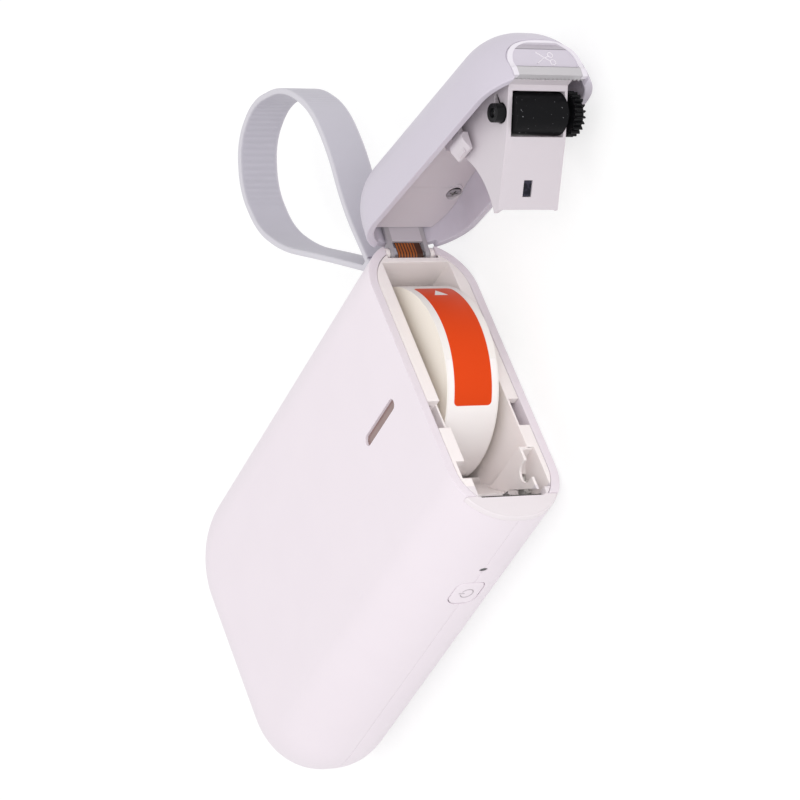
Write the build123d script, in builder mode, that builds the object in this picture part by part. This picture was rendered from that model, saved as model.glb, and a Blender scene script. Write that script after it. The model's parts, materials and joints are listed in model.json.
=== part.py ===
# A pocket label printer lying on its back with its lid standing open.
# Millimetres. X runs across the case from the hinge side to the label exit, Y along the case towards
# the lid, Z through its thickness from the back face up to the front face. The origin is the centre
# of the flat back of the body.
from build123d import *
from math import acos, cos, degrees, pi, radians, sin, sqrt
import os

os.makedirs("parts", exist_ok=True)

# Label roll, which the case is as wide as it needs to be for
roll_radius = 21.6
roll_half_width = 6.5
roll_core_radius = 12.7
roll_core_wall = 1.2
roll_depth = 15.4
roll_side_gap = 0.6

# Case
hinge_margin = 5.8
exit_block = 24.4
body_depth = 27.0
body_length = 114.0
lid_height = 17.0
edge_round = 12.5
edge_band = 2.0
base_corner = 20.0
lid_hinge_corner = 13.5
lid_exit_corner = 16.5
wall = 2.0
lid_wall = 1.8
lid_gap = 0.3
fit_gap = 0.1

# Lid hinge
hinge_inset = 2.4
hinge_drop = 1.7
lid_open_angle = 81.0
arm_inner = 3.9
arm_thickness = 1.1
ear_thickness = 1.1
eye_radius = 1.4
hinge_pin_radius = 0.7
hinge_pin_inner = 3.6
ribbon_width = 6.4
ribbon_thickness = 0.15
ribbon_rise = 1.6
hinge_slot_half = 6.4

# Bay of the label roll
cradle_gap = 0.7
bay_half_width = 8.4
bay_wall = 1.4
flange = 2.0
cap_width = 5.7
shelf_drop = 0.4
cap_chamfer = 0.4
shelf_thickness = 1.5

# Platen roller in the lid
platen_radius = 4.6
platen_inset = 12.5
platen_drop = 2.2
platen_front = 6.8
platen_rear = 5.6
shaft_radius = 1.0
shaft_clearance = 0.05
bush_radius = 2.0
bush_reach = 10.2
head_gap = 0.05

# Carrier walls under the lid, which hold the platen
carrier_front = 8.1
carrier_rear = 6.5
carrier_plate = 1.1
carrier_rear_plate = 0.7
carrier_face_plate = 1.2

# Gears
gear_module = 0.4
roller_teeth = 22
idler_teeth = 22
reduction_large_teeth = 24
reduction_small_teeth = 12
pinion_teeth = 12
gear_front = 7.6
gear_thickness = 2.1
tooth_backlash = 0.06

# Power button, status light, charging socket and window
button_width = 7.0
button_length = 7.7
button_corner = 2.2
button_drop = 28.8
button_travel = 0.4
button_gap = 0.15
light_drop = 20.0
usb_width = 9.0
usb_height = 3.3
usb_depth = 6.8
window_length = 15.2
window_width = 2.5
window_drop = 16.4

# Wrist strap
strap_width = 10.0
strap_thickness = 1.4
strap_drop = 10.7

# Boards and battery
board_thickness = 1.2
board_margin = 7.0
board_low_gap = 17.0
board_high_gap = 2.9
board_corner = 6.0
boss_radius = 2.6
boss_top = 5.0
battery_width = 38.0
battery_depth = 8.0
battery_low_gap = 16.0
battery_high_gap = 8.9
battery_round = 2.5
usb_board_low_gap = 4.25
usb_board_length = 10.5
usb_board_thickness = 0.9
side_board_thickness = 0.8
side_board_inset = 6.4
side_board_half_width = 4.5

# Places worked out from the sizes above
body_width = hinge_margin + roll_side_gap + 2 * roll_radius + exit_block
side_x = body_width / 2
mid_z = body_depth / 2
parting_y = body_length / 2
base_y = -parting_y
top_y = parting_y + lid_height
hinge_x = -side_x + hinge_inset
hinge_y = parting_y - hinge_drop
bay_left = side_x - hinge_margin
roll_x = -bay_left + roll_side_gap + roll_radius
roll_y = parting_y - roll_depth
platen_x = side_x - platen_inset
platen_y = parting_y - platen_drop
latch_x = platen_x - 14.5
button_y = parting_y - button_drop
light_y = parting_y - light_drop
window_y = parting_y - window_drop
strap_y = parting_y - strap_drop
hinge_axis = Axis((hinge_x, hinge_y, 0), (0, 0, 1))


def z_front(depth):
    """Height of a place that lies depth towards the front from the middle of the thickness."""
    return mid_z + depth


def plan_outline(inset):
    """Front view of the closed case drawn in by inset, in the sketch that is open."""
    with Locations((0, (base_y + top_y) / 2)):
        Rectangle(body_width - 2 * inset, top_y - base_y - 2 * inset)


def case_form(inset):
    """The closed case, body and lid as one smooth form, drawn in by inset on every side."""
    with BuildPart() as form:
        with BuildSketch(Plane.XY.offset(inset)) as plan:
            plan_outline(inset)
            fillet(plan.vertices().group_by(Axis.Y)[0], base_corner - inset)
            fillet(plan.vertices().group_by(Axis.Y)[-1].sort_by(Axis.X)[0], lid_hinge_corner - inset)
            fillet(plan.vertices().group_by(Axis.Y)[-1].sort_by(Axis.X)[-1], lid_exit_corner - inset)
        extrude(amount=body_depth - 2 * inset)
        fillet(form.faces().filter_by(Axis.Z).edges(),
               min(edge_round, (body_depth - edge_band) / 2) - inset)
    return form.solid()


def below(form, y):
    """The part of a form on the base side of the cross-section at y."""
    return split(form, bisect_by=Plane.XZ.offset(-y), keep=Keep.TOP)


def above(form, y):
    """The part of a form on the lid side of the cross-section at y."""
    return split(form, bisect_by=Plane.XZ.offset(-y), keep=Keep.BOTTOM)


def opened(part):
    """A lid piece swung about the hinge pin from shut to open."""
    return part.rotate(hinge_axis, lid_open_angle)


outer_form = case_form(0)
inner_form = case_form(wall)
liner_form = case_form(wall + fit_gap)
lid_inner_form = case_form(lid_wall)
lid_liner_form = case_form(lid_wall + fit_gap)

body_top = parting_y - lid_gap / 2
lid_bottom = parting_y + lid_gap / 2
cap_x = side_x - cap_width
cap_bottom = parting_y - shelf_thickness - shelf_drop

# The two body shells meet face to face on the middle plane of the case
strap_slot_half = strap_width / 2 + 0.3
strap_root_half = strap_thickness + 0.1
hinge_slot_bottom = hinge_y - 2.8

# Openings that both shells share: the step under the exit cap, the slots for the hinge arms and the
# strap's root, the wells of the button and the light, and the charging socket's slot in the base end
with BuildPart() as body_openings:
    with Locations((side_x, parting_y, mid_z)):
        Box(2 * (side_x - cap_x), 2 * (parting_y - cap_bottom), body_depth)
    with Locations((-side_x, parting_y, mid_z)):
        Box(2 * (wall + 2.6), 2 * (parting_y - hinge_slot_bottom), 2 * hinge_slot_half)
    with Locations((-side_x, strap_y, mid_z)):
        Box(2 * (wall + 2), 2 * strap_root_half + 0.4, 2 * strap_slot_half)
    with BuildSketch(Plane.YZ.offset(side_x - wall - 1)):
        with Locations((button_y, mid_z)):
            RectangleRounded(button_length + 2 * button_gap, button_width + 2 * button_gap,
                             button_corner + button_gap)
        with Locations((light_y, mid_z)):
            Ellipse(0.65, 1.0)
    extrude(amount=wall + 2)
    with BuildSketch(Plane.XZ.offset(-base_y - wall - 1)):
        with Locations((0, mid_z)):
            SlotOverall(usb_width + 0.6, usb_height + 0.6)
    extrude(amount=wall + 2)

# Forms that the shells and the exit cap are cut from
body_form = below(outer_form, body_top)
back_form = split(body_form, bisect_by=Plane.XY.offset(mid_z), keep=Keep.BOTTOM).solid()
front_form = split(body_form, bisect_by=Plane.XY.offset(mid_z), keep=Keep.TOP).solid()
cap_band = above(below(outer_form, parting_y - shelf_drop), cap_bottom)
exit_cap_form = split(cap_band, bisect_by=Plane.YZ.offset(cap_x), keep=Keep.TOP)
cap_face = exit_cap_form.faces().sort_by(Axis.Y)[-1]
exit_cap_form = chamfer(cap_face.edges().sort_by(Axis.X)[1:], cap_chamfer)

# The main board fills the space below the bay, and the charging socket's board lies in the base
cradle_radius = roll_radius + cradle_gap
bay_bottom = roll_y - cradle_radius - bay_wall
board_low = base_y + board_low_gap
board_high = bay_bottom - board_high_gap
board_half_width = side_x - board_margin
board_screw_places = [(-board_half_width + 6, board_low + 6), (board_half_width - 6, board_low + 6),
                      (-board_half_width + 3, board_high - 7), (board_half_width - 3, board_high - 7)]
usb_board_low = base_y + usb_board_low_gap
usb_board_high = usb_board_low + usb_board_length
post_top = mid_z - usb_height / 2 - usb_board_thickness
post_places = [(-6.5, usb_board_high - 1.75), (6.5, usb_board_high - 1.75)]
side_board_x = side_x - side_board_inset
side_board_low = button_y - 6.2
side_board_high = light_y + 3.0
side_board_bottom = mid_z - side_board_half_width

with BuildPart() as back_shell:
    add(back_form)
    add(inner_form, mode=Mode.SUBTRACT)
    add(body_openings.part, mode=Mode.SUBTRACT)
    # bosses under the main board and posts under the charging socket's board
    with BuildSketch(Plane.XY.offset(wall - 0.2)):
        with Locations(*board_screw_places):
            Circle(boss_radius)
    extrude(amount=boss_top - wall + 0.2)
    with BuildSketch(Plane.XY.offset(wall - 0.2)):
        with Locations(*post_places):
            Circle(1.8)
    extrude(amount=post_top - wall + 0.2)
    # ribs that hold the side board of the button and the light
    for y in (side_board_low + 1, side_board_high - 1):
        with BuildSketch(Plane.XY.offset(side_board_bottom - 2.4)):
            with Locations((side_board_x, y)):
                Rectangle(3.8, 1.2, align=(Align.MIN, Align.CENTER))
        extrude(amount=2.4)
    with BuildSketch(Plane.XY.offset(boss_top - 2.4)):
        with Locations(*board_screw_places):
            Circle(0.8)
    extrude(amount=2.4, mode=Mode.SUBTRACT)
    add(back_form, mode=Mode.INTERSECT)
back_shell.part.label = "back_shell"
export_step(back_shell.part, "parts/back_shell.step")

with BuildPart() as front_shell:
    add(front_form)
    add(inner_form, mode=Mode.SUBTRACT)
    add(body_openings.part, mode=Mode.SUBTRACT)
    # window over the label roll
    with BuildSketch(Plane.XY.offset(body_depth - wall - 1)):
        with Locations((0, window_y)):
            SlotOverall(window_length, window_width, rotation=90)
    extrude(amount=wall + 2, mode=Mode.SUBTRACT)
front_shell.part.label = "front_shell"
export_step(front_shell.part, "parts/front_shell.step")

# The window is a tinted strip held in the front shell, a little below its face
with BuildPart() as window_lens:
    with BuildSketch(Plane.XY.offset(body_depth - wall)):
        with Locations((0, window_y)):
            SlotOverall(window_length - 0.04, window_width - 0.04, rotation=90)
    extrude(amount=wall - 0.7)
window_lens.part.label = "window_lens"
export_step(window_lens.part, "parts/window_lens.step")

# Geometry of the label path. The carrier face leans away from the exit in two flats, and the bay's
# guide ramp lies parallel to it, so that the print head bears on the platen.
face_top = (platen_x + 5.5, parting_y + 1.3)
face_knee = (platen_x - 0.3, parting_y - 7.1)
face_tip = (platen_x - 10.9, parting_y - 18.9)
upper_run = Vector(face_top[0] - face_knee[0], face_top[1] - face_knee[1]).normalized()
lower_run = Vector(face_knee[0] - face_tip[0], face_knee[1] - face_tip[1]).normalized()
upper_out = Vector(upper_run.Y, -upper_run.X)
lower_out = Vector(lower_run.Y, -lower_run.X)
platen_centre = Vector(platen_x, platen_y)
head_point = platen_centre + upper_out * (platen_radius + head_gap)
ramp_top_s = (parting_y - head_point.Y) / upper_run.Y
ramp_top = head_point + upper_run * ramp_top_s
ramp_knee = head_point - upper_run * 4.3
ramp_low = Vector(*face_tip) + lower_out * 1.6 - lower_run * 0.2
floor_y = ramp_low.Y
cradle_x = roll_x + sqrt(cradle_radius**2 - (floor_y - roll_y) ** 2)

# Side profile of the roll bay, seen along Z
with BuildSketch() as bay_side:
    with BuildLine():
        Polyline((-bay_left, roll_y), (-bay_left, parting_y + 5), (ramp_top.X, parting_y + 5),
                 (ramp_top.X, parting_y), (ramp_knee.X, ramp_knee.Y), (ramp_low.X, ramp_low.Y),
                 (cradle_x, floor_y))
        ThreePointArc((cradle_x, floor_y), (roll_x - 1, roll_y - sqrt(cradle_radius**2 - 1)),
                      (-bay_left, roll_y))
    make_face()


def head_plane(depth, s=0):
    """Plane that faces the platen, depth behind the head's surface, s up the ramp."""
    origin = head_point + upper_out * depth + upper_run * s
    return Plane(origin=(origin.X, origin.Y, mid_z), x_dir=(upper_run.X, upper_run.Y, 0),
                 z_dir=(-upper_out.X, -upper_out.Y, 0))


# Gear centres, from the platen down to the motor
roller_pitch = gear_module * roller_teeth / 2
idler_pitch = gear_module * idler_teeth / 2
large_pitch = gear_module * reduction_large_teeth / 2
small_pitch = gear_module * reduction_small_teeth / 2
pinion_pitch = gear_module * pinion_teeth / 2


def step_from(centre, angle, distance):
    """Centre that lies distance away in the given direction, in degrees."""
    return Vector(centre.X + distance * cos(radians(angle)), centre.Y + distance * sin(radians(angle)))


idler_angle = -90
reduction_angle = -85
motor_angle = -105
idler_centre = step_from(platen_centre, idler_angle, roller_pitch + idler_pitch + 0.1)
reduction_centre = step_from(idler_centre, reduction_angle, idler_pitch + small_pitch + 0.05)
motor_centre = step_from(reduction_centre, motor_angle, large_pitch + pinion_pitch + 0.05)
gear_top = z_front(-gear_front)
gear_floor = gear_top - gear_thickness
layer = gear_thickness / 2 - 0.05
well_floor = gear_floor - 0.4
well_roof = gear_top + 0.15
plate_thickness = 0.7
bay_back_deep = 2.2
block_left = platen_x - 10.5
block_low = motor_centre.Y - 5
cover_left = platen_x - roller_pitch - gear_module - 0.9
cover_top = parting_y - 0.7
axle_radius = 0.6
axle_clearance = 0.04
head_length = 8.5
head_width = 2 * (gear_front - 0.2)
head_thickness = 0.8
head_s = 0.75
bracket_width = 13.2
bracket_thickness = 1.4
bracket_low_s = head_s - head_length / 2
bracket_top_s = 2.2
head_pin_s = -5.9
head_pin_depth = 0.9
head_pin_radius = 0.4
seat_depth = 3.6
seat_thickness = 0.9
notch_width = 7.0
notch_depth = 4.3
notch_inner = 8.9
notch_outer = 11.6
sill_drop = 1.5

head_pin_centre = head_point + upper_run * head_pin_s + upper_out * head_pin_depth

# The roll bay drops into the body from above. It has the cradle for the roll, the guide ramp, the
# rim flange, the bearing notches and the cap that the labels slide over.
with BuildPart() as roll_bay:
    with BuildSketch(Plane.XY.offset(mid_z - bay_half_width - bay_wall)):
        offset(bay_side.sketch, amount=bay_wall)
    extrude(amount=2 * (bay_half_width + bay_wall))
    # deeper block round the carrier and its gears
    with BuildSketch(Plane.XY.offset(bay_back_deep)):
        with BuildLine():
            Polyline((block_left, parting_y), (cap_x, parting_y), (cap_x, block_low),
                     (block_left + 3, block_low), (block_left, ramp_low.Y), close=True)
        make_face()
    extrude(amount=mid_z - bay_half_width - bay_wall - bay_back_deep)
    # rim flange
    with BuildSketch(Plane.XZ.offset(-(parting_y - flange))):
        with Locations((0, mid_z)):
            Rectangle(body_width, body_depth)
    extrude(amount=-flange)
    # cheeks and cross bar behind the print head, which its springs push against
    for side in (1, -1):
        with BuildSketch(head_plane(bay_wall - 0.2, -2.6)):
            with Locations((0, side * (bracket_width / 2 + 0.65))):
                Rectangle(8.4, 0.9)
        extrude(amount=-(seat_depth + seat_thickness - bay_wall + 0.2))
    with BuildSketch(head_plane(seat_depth, -0.5)):
        Rectangle(2.6, bracket_width + 2.2)
    extrude(amount=-seat_thickness)
    add(liner_form, mode=Mode.INTERSECT)
    # the flange stops at the exit cap, which is one flat face a little below the rim
    with Locations((cap_x, parting_y - shelf_drop, mid_z)):
        Box(side_x, 10, 2 * body_depth, align=(Align.MIN, Align.MIN, Align.CENTER),
            mode=Mode.SUBTRACT)
    add(exit_cap_form)
    # everything stops at the rim
    with Locations((0, parting_y - lid_gap / 2, mid_z)):
        Box(2 * body_width, 40, 2 * body_depth, align=(Align.CENTER, Align.MIN, Align.CENTER),
            mode=Mode.SUBTRACT)
    # the pocket itself
    with BuildSketch(Plane.XY.offset(mid_z - bay_half_width)):
        add(bay_side.sketch)
    extrude(amount=2 * bay_half_width, mode=Mode.SUBTRACT)
    # notches for the two latch hooks, with a low sill between the front one and the pocket
    for side in (1, -1):
        with Locations((latch_x, parting_y, mid_z + side * (notch_inner + notch_outer) / 2)):
            Box(notch_width, 2 * notch_depth, notch_outer - notch_inner, mode=Mode.SUBTRACT)
    with Locations((latch_x, parting_y, mid_z + notch_inner)):
        Box(notch_width, 2 * sill_drop, 2, mode=Mode.SUBTRACT)
    # half-round seat for the front bush
    with BuildSketch(Plane.XY.offset(mid_z + bay_half_width - 0.5)):
        with Locations((platen_x, platen_y)):
            Circle(bush_radius + 0.2)
        with Locations((platen_x, platen_y + 5)):
            Rectangle(2 * bush_radius + 0.4, 10)
    extrude(amount=bush_reach - bay_half_width + 0.8, mode=Mode.SUBTRACT)
    # gear well beside the bay
    with BuildSketch(Plane.XY.offset(well_floor)):
        for centre, pitch in ((platen_centre, roller_pitch), (idler_centre, idler_pitch),
                              (reduction_centre, large_pitch)):
            with Locations((centre.X, centre.Y)):
                Circle(pitch + gear_module + 0.35)
        with Locations((platen_x, (platen_y + parting_y + 5) / 2)):
            Rectangle(2 * (roller_pitch + gear_module + 0.35), parting_y + 5 - platen_y)
    extrude(amount=well_roof - well_floor, mode=Mode.SUBTRACT)
    # cover over the gears, with the rear bearing notch, tied to the bay by a rib
    with BuildSketch(Plane.XY.offset(well_roof)):
        with BuildLine():
            Polyline((cover_left, cover_top), (cap_x - 0.9, cover_top), (cap_x - 0.9, block_low),
                     (block_left + 4, block_low), (block_left + 4, ramp_low.Y + 3),
                     (cover_left, ramp_low.Y + 6), close=True)
        make_face()
    extrude(amount=plate_thickness)
    with Locations((cover_left + 0.4, (cover_top + ramp_low.Y + 6) / 2, mid_z - bay_half_width)):
        Box(0.8, cover_top - ramp_low.Y - 6, 2 * (bay_half_width - gear_front) + 1.2,
            align=(Align.CENTER, Align.CENTER, Align.CENTER))
    with BuildSketch(Plane.XY.offset(gear_top)):
        with Locations((platen_x, platen_y)):
            Circle(bush_radius + 0.2)
        with Locations((platen_x, platen_y + 5)):
            Rectangle(2 * bush_radius + 0.4, 10)
        with Locations((motor_centre.X, motor_centre.Y)):
            Circle(1.6)
    extrude(amount=1.2, mode=Mode.SUBTRACT)
    # bores for the two gear axles
    with BuildSketch(Plane.XY.offset(well_floor - 0.9)):
        with Locations((idler_centre.X, idler_centre.Y), (reduction_centre.X, reduction_centre.Y)):
            Circle(axle_radius)
    extrude(amount=gear_top - well_floor + 3, mode=Mode.SUBTRACT)
    # bore for the print head's pin
    with BuildSketch(Plane.XY.offset(gear_top + 0.2)):
        with Locations((head_pin_centre.X, head_pin_centre.Y)):
            Circle(head_pin_radius)
    extrude(amount=mid_z + bay_half_width + 0.9 - gear_top - 0.2, mode=Mode.SUBTRACT)
    # slot for the hinge arms and the ribbon cable
    with Locations((-side_x, parting_y, mid_z)):
        Box(2 * (side_x - bay_left - bay_wall + 0.1), 16, 2 * hinge_slot_half, mode=Mode.SUBTRACT)
    # ears for the hinge pin
    for side in (1, -1):
        ear_z = mid_z + side * (arm_inner + arm_thickness + 0.1 + ear_thickness / 2)
        with BuildSketch(Plane.XY.offset(ear_z - ear_thickness / 2)):
            with Locations((hinge_x, hinge_y)):
                Circle(eye_radius)
            with BuildLine():
                Polyline((hinge_x - eye_radius, hinge_y), (hinge_x + 0.9, hinge_y - 2.6),
                         (-bay_left - bay_wall + 0.2, hinge_y - 2.6),
                         (-bay_left - bay_wall + 0.2, hinge_y), close=True)
            make_face()
            with Locations((hinge_x, hinge_y)):
                Circle(hinge_pin_radius, mode=Mode.SUBTRACT)
        extrude(amount=ear_thickness)
    # window slot through the bay wall
    with BuildSketch(Plane.XY.offset(mid_z + bay_half_width - 1)):
        with Locations((0, window_y)):
            SlotOverall(window_length, window_width, rotation=90)
    extrude(amount=bay_wall + 3, mode=Mode.SUBTRACT)
    # opening for the print head in the ramp
    with BuildSketch(head_plane(-1, 0.8)):
        Rectangle(head_length + 0.9, head_width + 0.6)
        with Locations((-4.7, 0)):
            Rectangle(6.0, bracket_width + 0.6)
    extrude(amount=-(bay_wall + 1.1), mode=Mode.SUBTRACT)
roll_bay.part.label = "roll_bay"
export_step(roll_bay.part, "parts/roll_bay.step")

# Print head: a glazed ceramic plate on a metal bracket that rocks on a pin, pushed by two springs
with BuildPart() as print_head:
    with BuildSketch(head_plane(0, head_s)):
        Rectangle(head_length, head_width)
    extrude(amount=-head_thickness)
print_head.part.label = "print_head"
export_step(print_head.part, "parts/print_head.step")

with BuildPart() as head_bracket:
    with BuildSketch(head_plane(head_thickness, (bracket_low_s + bracket_top_s) / 2)):
        Rectangle(bracket_top_s - bracket_low_s, bracket_width)
    extrude(amount=-bracket_thickness)
    with BuildSketch(Plane.XY.offset(mid_z - bracket_width / 2)):
        with Locations((head_pin_centre.X, head_pin_centre.Y)):
            Circle(head_pin_depth - 0.05)
    extrude(amount=bracket_width)
    with BuildSketch(head_plane(head_thickness, (head_pin_s + bracket_low_s) / 2 + 0.3)):
        Rectangle(bracket_low_s - head_pin_s + 1.4, bracket_width)
    extrude(amount=-0.9)
    add(print_head.part, mode=Mode.SUBTRACT)
    with BuildSketch(Plane.XY.offset(mid_z - bracket_width / 2)):
        with Locations((head_pin_centre.X, head_pin_centre.Y)):
            Circle(head_pin_radius + axle_clearance)
    extrude(amount=bracket_width, mode=Mode.SUBTRACT)
head_bracket.part.label = "head_bracket"
export_step(head_bracket.part, "parts/head_bracket.step")

with BuildPart() as head_pin:
    with BuildSketch(Plane.XY.offset(gear_top + 0.25)):
        with Locations((head_pin_centre.X, head_pin_centre.Y)):
            Circle(head_pin_radius)
    extrude(amount=mid_z + bay_half_width + 0.8 - gear_top - 0.25)
head_pin.part.label = "head_pin"
export_step(head_pin.part, "parts/head_pin.step")

spring_radius = 1.1
spring_wire = 0.12
spring_turns = 3
spring_s = -0.5
spring_offset = 4.2
spring_gap = 0.2
spring_length = seat_depth - head_thickness - bracket_thickness - spring_gap - 0.02


def coil_spring(plane):
    """Compression spring that stands on the plane, its wire wound as a helix."""
    with BuildPart() as coil:
        with BuildLine():
            wire = Helix(pitch=(spring_length - 2 * spring_wire) / spring_turns,
                         height=spring_length - 2 * spring_wire, radius=spring_radius,
                         center=plane.origin + plane.z_dir * spring_wire, direction=plane.z_dir)
        with BuildSketch(Plane(origin=wire @ 0, z_dir=wire % 0)):
            RegularPolygon(spring_wire, 4)
        sweep(path=wire)
    return coil.part


spring_seat = head_plane(seat_depth - 0.02, spring_s)
coils = [coil_spring(Plane(origin=spring_seat.from_local_coords((0, side * spring_offset, 0)),
                           x_dir=spring_seat.x_dir, z_dir=spring_seat.z_dir)) for side in (1, -1)]
with BuildPart() as head_springs:
    for coil in coils:
        add(coil)
head_springs.part.label = "head_springs"
export_step(head_springs.part, "parts/head_springs.step")


def gear_sketch(teeth, phase):
    """Spur gear outline about the origin, with involute flanks and one tooth at the phase angle."""
    pitch_radius = gear_module * teeth / 2
    base_radius = pitch_radius * cos(radians(20))
    root_radius = pitch_radius - 1.25 * gear_module
    tip_radius = pitch_radius + 0.95 * gear_module
    half_tooth = degrees(pi / 2 / teeth - tooth_backlash / pitch_radius)

    def flank(radius):
        """Half the tooth's angle at a radius, by the involute's own formula."""
        lean = acos(min(1.0, base_radius / radius))
        lean_at_pitch = radians(20)
        turn = (sin(lean) / cos(lean) - lean) - (sin(lean_at_pitch) / cos(lean_at_pitch)
                                                 - lean_at_pitch)
        return half_tooth - degrees(turn)

    radii = (root_radius - 0.1, max(base_radius, root_radius), pitch_radius, tip_radius)
    right = [(r * cos(radians(-flank(r))), r * sin(radians(-flank(r)))) for r in radii]
    left = [(x, -y) for x, y in reversed(right)]
    with BuildSketch() as outline:
        Circle(root_radius)
        with BuildSketch(mode=Mode.PRIVATE) as tooth:
            with BuildLine():
                Polyline(*right, *left, close=True)
            make_face()
        with PolarLocations(0, teeth, start_angle=phase):
            add(tooth.sketch)
    return outline.sketch


def meshed(phase, teeth, next_teeth, angle):
    """Phase of the next gear, whose centre lies in the direction angle, so that the two mesh."""
    share = ((angle - phase) * teeth / 360) % 1
    return angle + 180 + (share - 0.5) * 360 / next_teeth


roller_phase = 90.0
idler_phase = meshed(roller_phase, roller_teeth, idler_teeth, idler_angle)
reduction_phase = meshed(idler_phase, idler_teeth, reduction_small_teeth, reduction_angle)
pinion_phase = meshed(reduction_phase, reduction_large_teeth, pinion_teeth, motor_angle)


def gear(teeth, phase, centre, low, high, bore):
    """Spur gear between two heights, bored for its axle."""
    with BuildPart() as wheel:
        with BuildSketch(Plane.XY.offset(low)):
            with Locations((centre.X, centre.Y)):
                add(gear_sketch(teeth, phase))
                Circle(bore, mode=Mode.SUBTRACT)
        extrude(amount=high - low)
    return wheel.part


low_layer_top = gear_floor + layer
high_layer_floor = low_layer_top + 0.1
axle_bore = axle_radius + axle_clearance
idler_gear = gear(idler_teeth, idler_phase, idler_centre, gear_floor, low_layer_top, axle_bore)
idler_gear.label = "idler_gear"
export_step(idler_gear, "parts/idler_gear.step")

small_wheel = gear(reduction_small_teeth, reduction_phase, reduction_centre, gear_floor,
                   high_layer_floor, axle_bore)
large_wheel = gear(reduction_large_teeth, reduction_phase, reduction_centre, high_layer_floor,
                   gear_top, axle_bore)
with BuildPart() as reduction_gear:
    add(small_wheel)
    add(large_wheel)
reduction_gear.part.label = "reduction_gear"
export_step(reduction_gear.part, "parts/reduction_gear.step")

motor_shaft_radius = 0.75
motor_pinion = gear(pinion_teeth, pinion_phase, motor_centre, high_layer_floor, gear_top,
                    motor_shaft_radius)
motor_pinion.label = "motor_pinion"
export_step(motor_pinion, "parts/motor_pinion.step")

motor_radius = 7.0
motor_length = 13.0
motor_floor = well_roof + plate_thickness
with BuildPart() as stepper_motor:
    with BuildSketch(Plane.XY.offset(motor_floor)):
        with Locations((motor_centre.X, motor_centre.Y)):
            Circle(motor_radius)
    extrude(amount=motor_length)
    chamfer(stepper_motor.faces().sort_by(Axis.Z)[-1].edges(), 0.5)
    with BuildSketch(Plane.XY.offset(motor_floor)):
        with Locations((motor_centre.X, motor_centre.Y)):
            Circle(1.5)
            with Locations((0, 0)):
                Circle(motor_shaft_radius + 0.1, mode=Mode.SUBTRACT)
    extrude(amount=-0.6)
    with BuildSketch(Plane.XY.offset(motor_floor - 1)):
        with Locations((motor_centre.X, motor_centre.Y)):
            Circle(motor_shaft_radius + 0.05)
    extrude(amount=3, mode=Mode.SUBTRACT)
stepper_motor.part.label = "stepper_motor"
export_step(stepper_motor.part, "parts/stepper_motor.step")

with BuildPart() as motor_shaft:
    with BuildSketch(Plane.XY.offset(gear_floor + layer)):
        with Locations((motor_centre.X, motor_centre.Y)):
            Circle(motor_shaft_radius)
    extrude(amount=motor_floor + 1.8 - gear_floor - layer)
motor_shaft.part.label = "motor_shaft"
export_step(motor_shaft.part, "parts/motor_shaft.step")

with BuildPart() as gear_axles:
    with BuildSketch(Plane.XY.offset(well_floor - 0.8)):
        with Locations((idler_centre.X, idler_centre.Y), (reduction_centre.X, reduction_centre.Y)):
            Circle(axle_radius)
    extrude(amount=well_roof - well_floor + 0.8 + plate_thickness)
gear_axles.part.label = "gear_axles"
export_step(gear_axles.part, "parts/gear_axles.step")

# The label roll lies loose in the cradle: wound paper on a cardboard core
with BuildPart() as label_paper:
    with BuildSketch(Plane.XY.offset(mid_z - roll_half_width)):
        with Locations((roll_x, roll_y)):
            Circle(roll_radius)
            Circle(roll_core_radius, mode=Mode.SUBTRACT)
    extrude(amount=2 * roll_half_width)
label_paper.part.label = "label_paper"
export_step(label_paper.part, "parts/label_paper.step")

with BuildPart() as label_core:
    with BuildSketch(Plane.XY.offset(mid_z - roll_half_width)):
        with Locations((roll_x, roll_y)):
            Circle(roll_core_radius)
            Circle(roll_core_radius - roll_core_wall, mode=Mode.SUBTRACT)
    extrude(amount=2 * roll_half_width)
label_core.part.label = "label_core"
export_step(label_core.part, "parts/label_core.step")

# Boards, battery, charging socket and the switch behind the button
with BuildPart() as main_board:
    with BuildSketch(Plane.XY.offset(boss_top)):
        with Locations((0, (board_low + board_high) / 2)):
            RectangleRounded(2 * board_half_width, board_high - board_low, board_corner)
        with Locations(*board_screw_places):
            Circle(1.0, mode=Mode.SUBTRACT)
    extrude(amount=board_thickness)
main_board.part.label = "main_board"
export_step(main_board.part, "parts/main_board.step")

with BuildPart() as board_screws:
    with BuildSketch(Plane.XY.offset(boss_top + board_thickness)):
        with Locations(*board_screw_places):
            Circle(1.6)
    extrude(amount=0.9)
    with BuildSketch(Plane.XY.offset(boss_top - 2.2)):
        with Locations(*board_screw_places):
            Circle(0.8)
    extrude(amount=2.2 + board_thickness)
board_screws.part.label = "board_screws"
export_step(board_screws.part, "parts/board_screws.step")

battery_low = base_y + battery_low_gap
battery_high = bay_bottom - battery_high_gap
with BuildPart() as battery:
    with BuildSketch(Plane.XY.offset(body_depth - wall - battery_depth)):
        with Locations((-2, (battery_low + battery_high) / 2)):
            Rectangle(battery_width, battery_high - battery_low)
    extrude(amount=battery_depth)
    fillet(battery.edges().filter_by(Axis.Y), battery_round)
battery.part.label = "battery"
export_step(battery.part, "parts/battery.step")

with BuildPart() as usb_board:
    with BuildSketch(Plane.XY.offset(post_top)):
        with Locations((0, (usb_board_low + usb_board_high) / 2)):
            Rectangle(2 * usb_width, usb_board_high - usb_board_low)
    extrude(amount=usb_board_thickness)
usb_board.part.label = "usb_board"
export_step(usb_board.part, "parts/usb_board.step")

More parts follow.
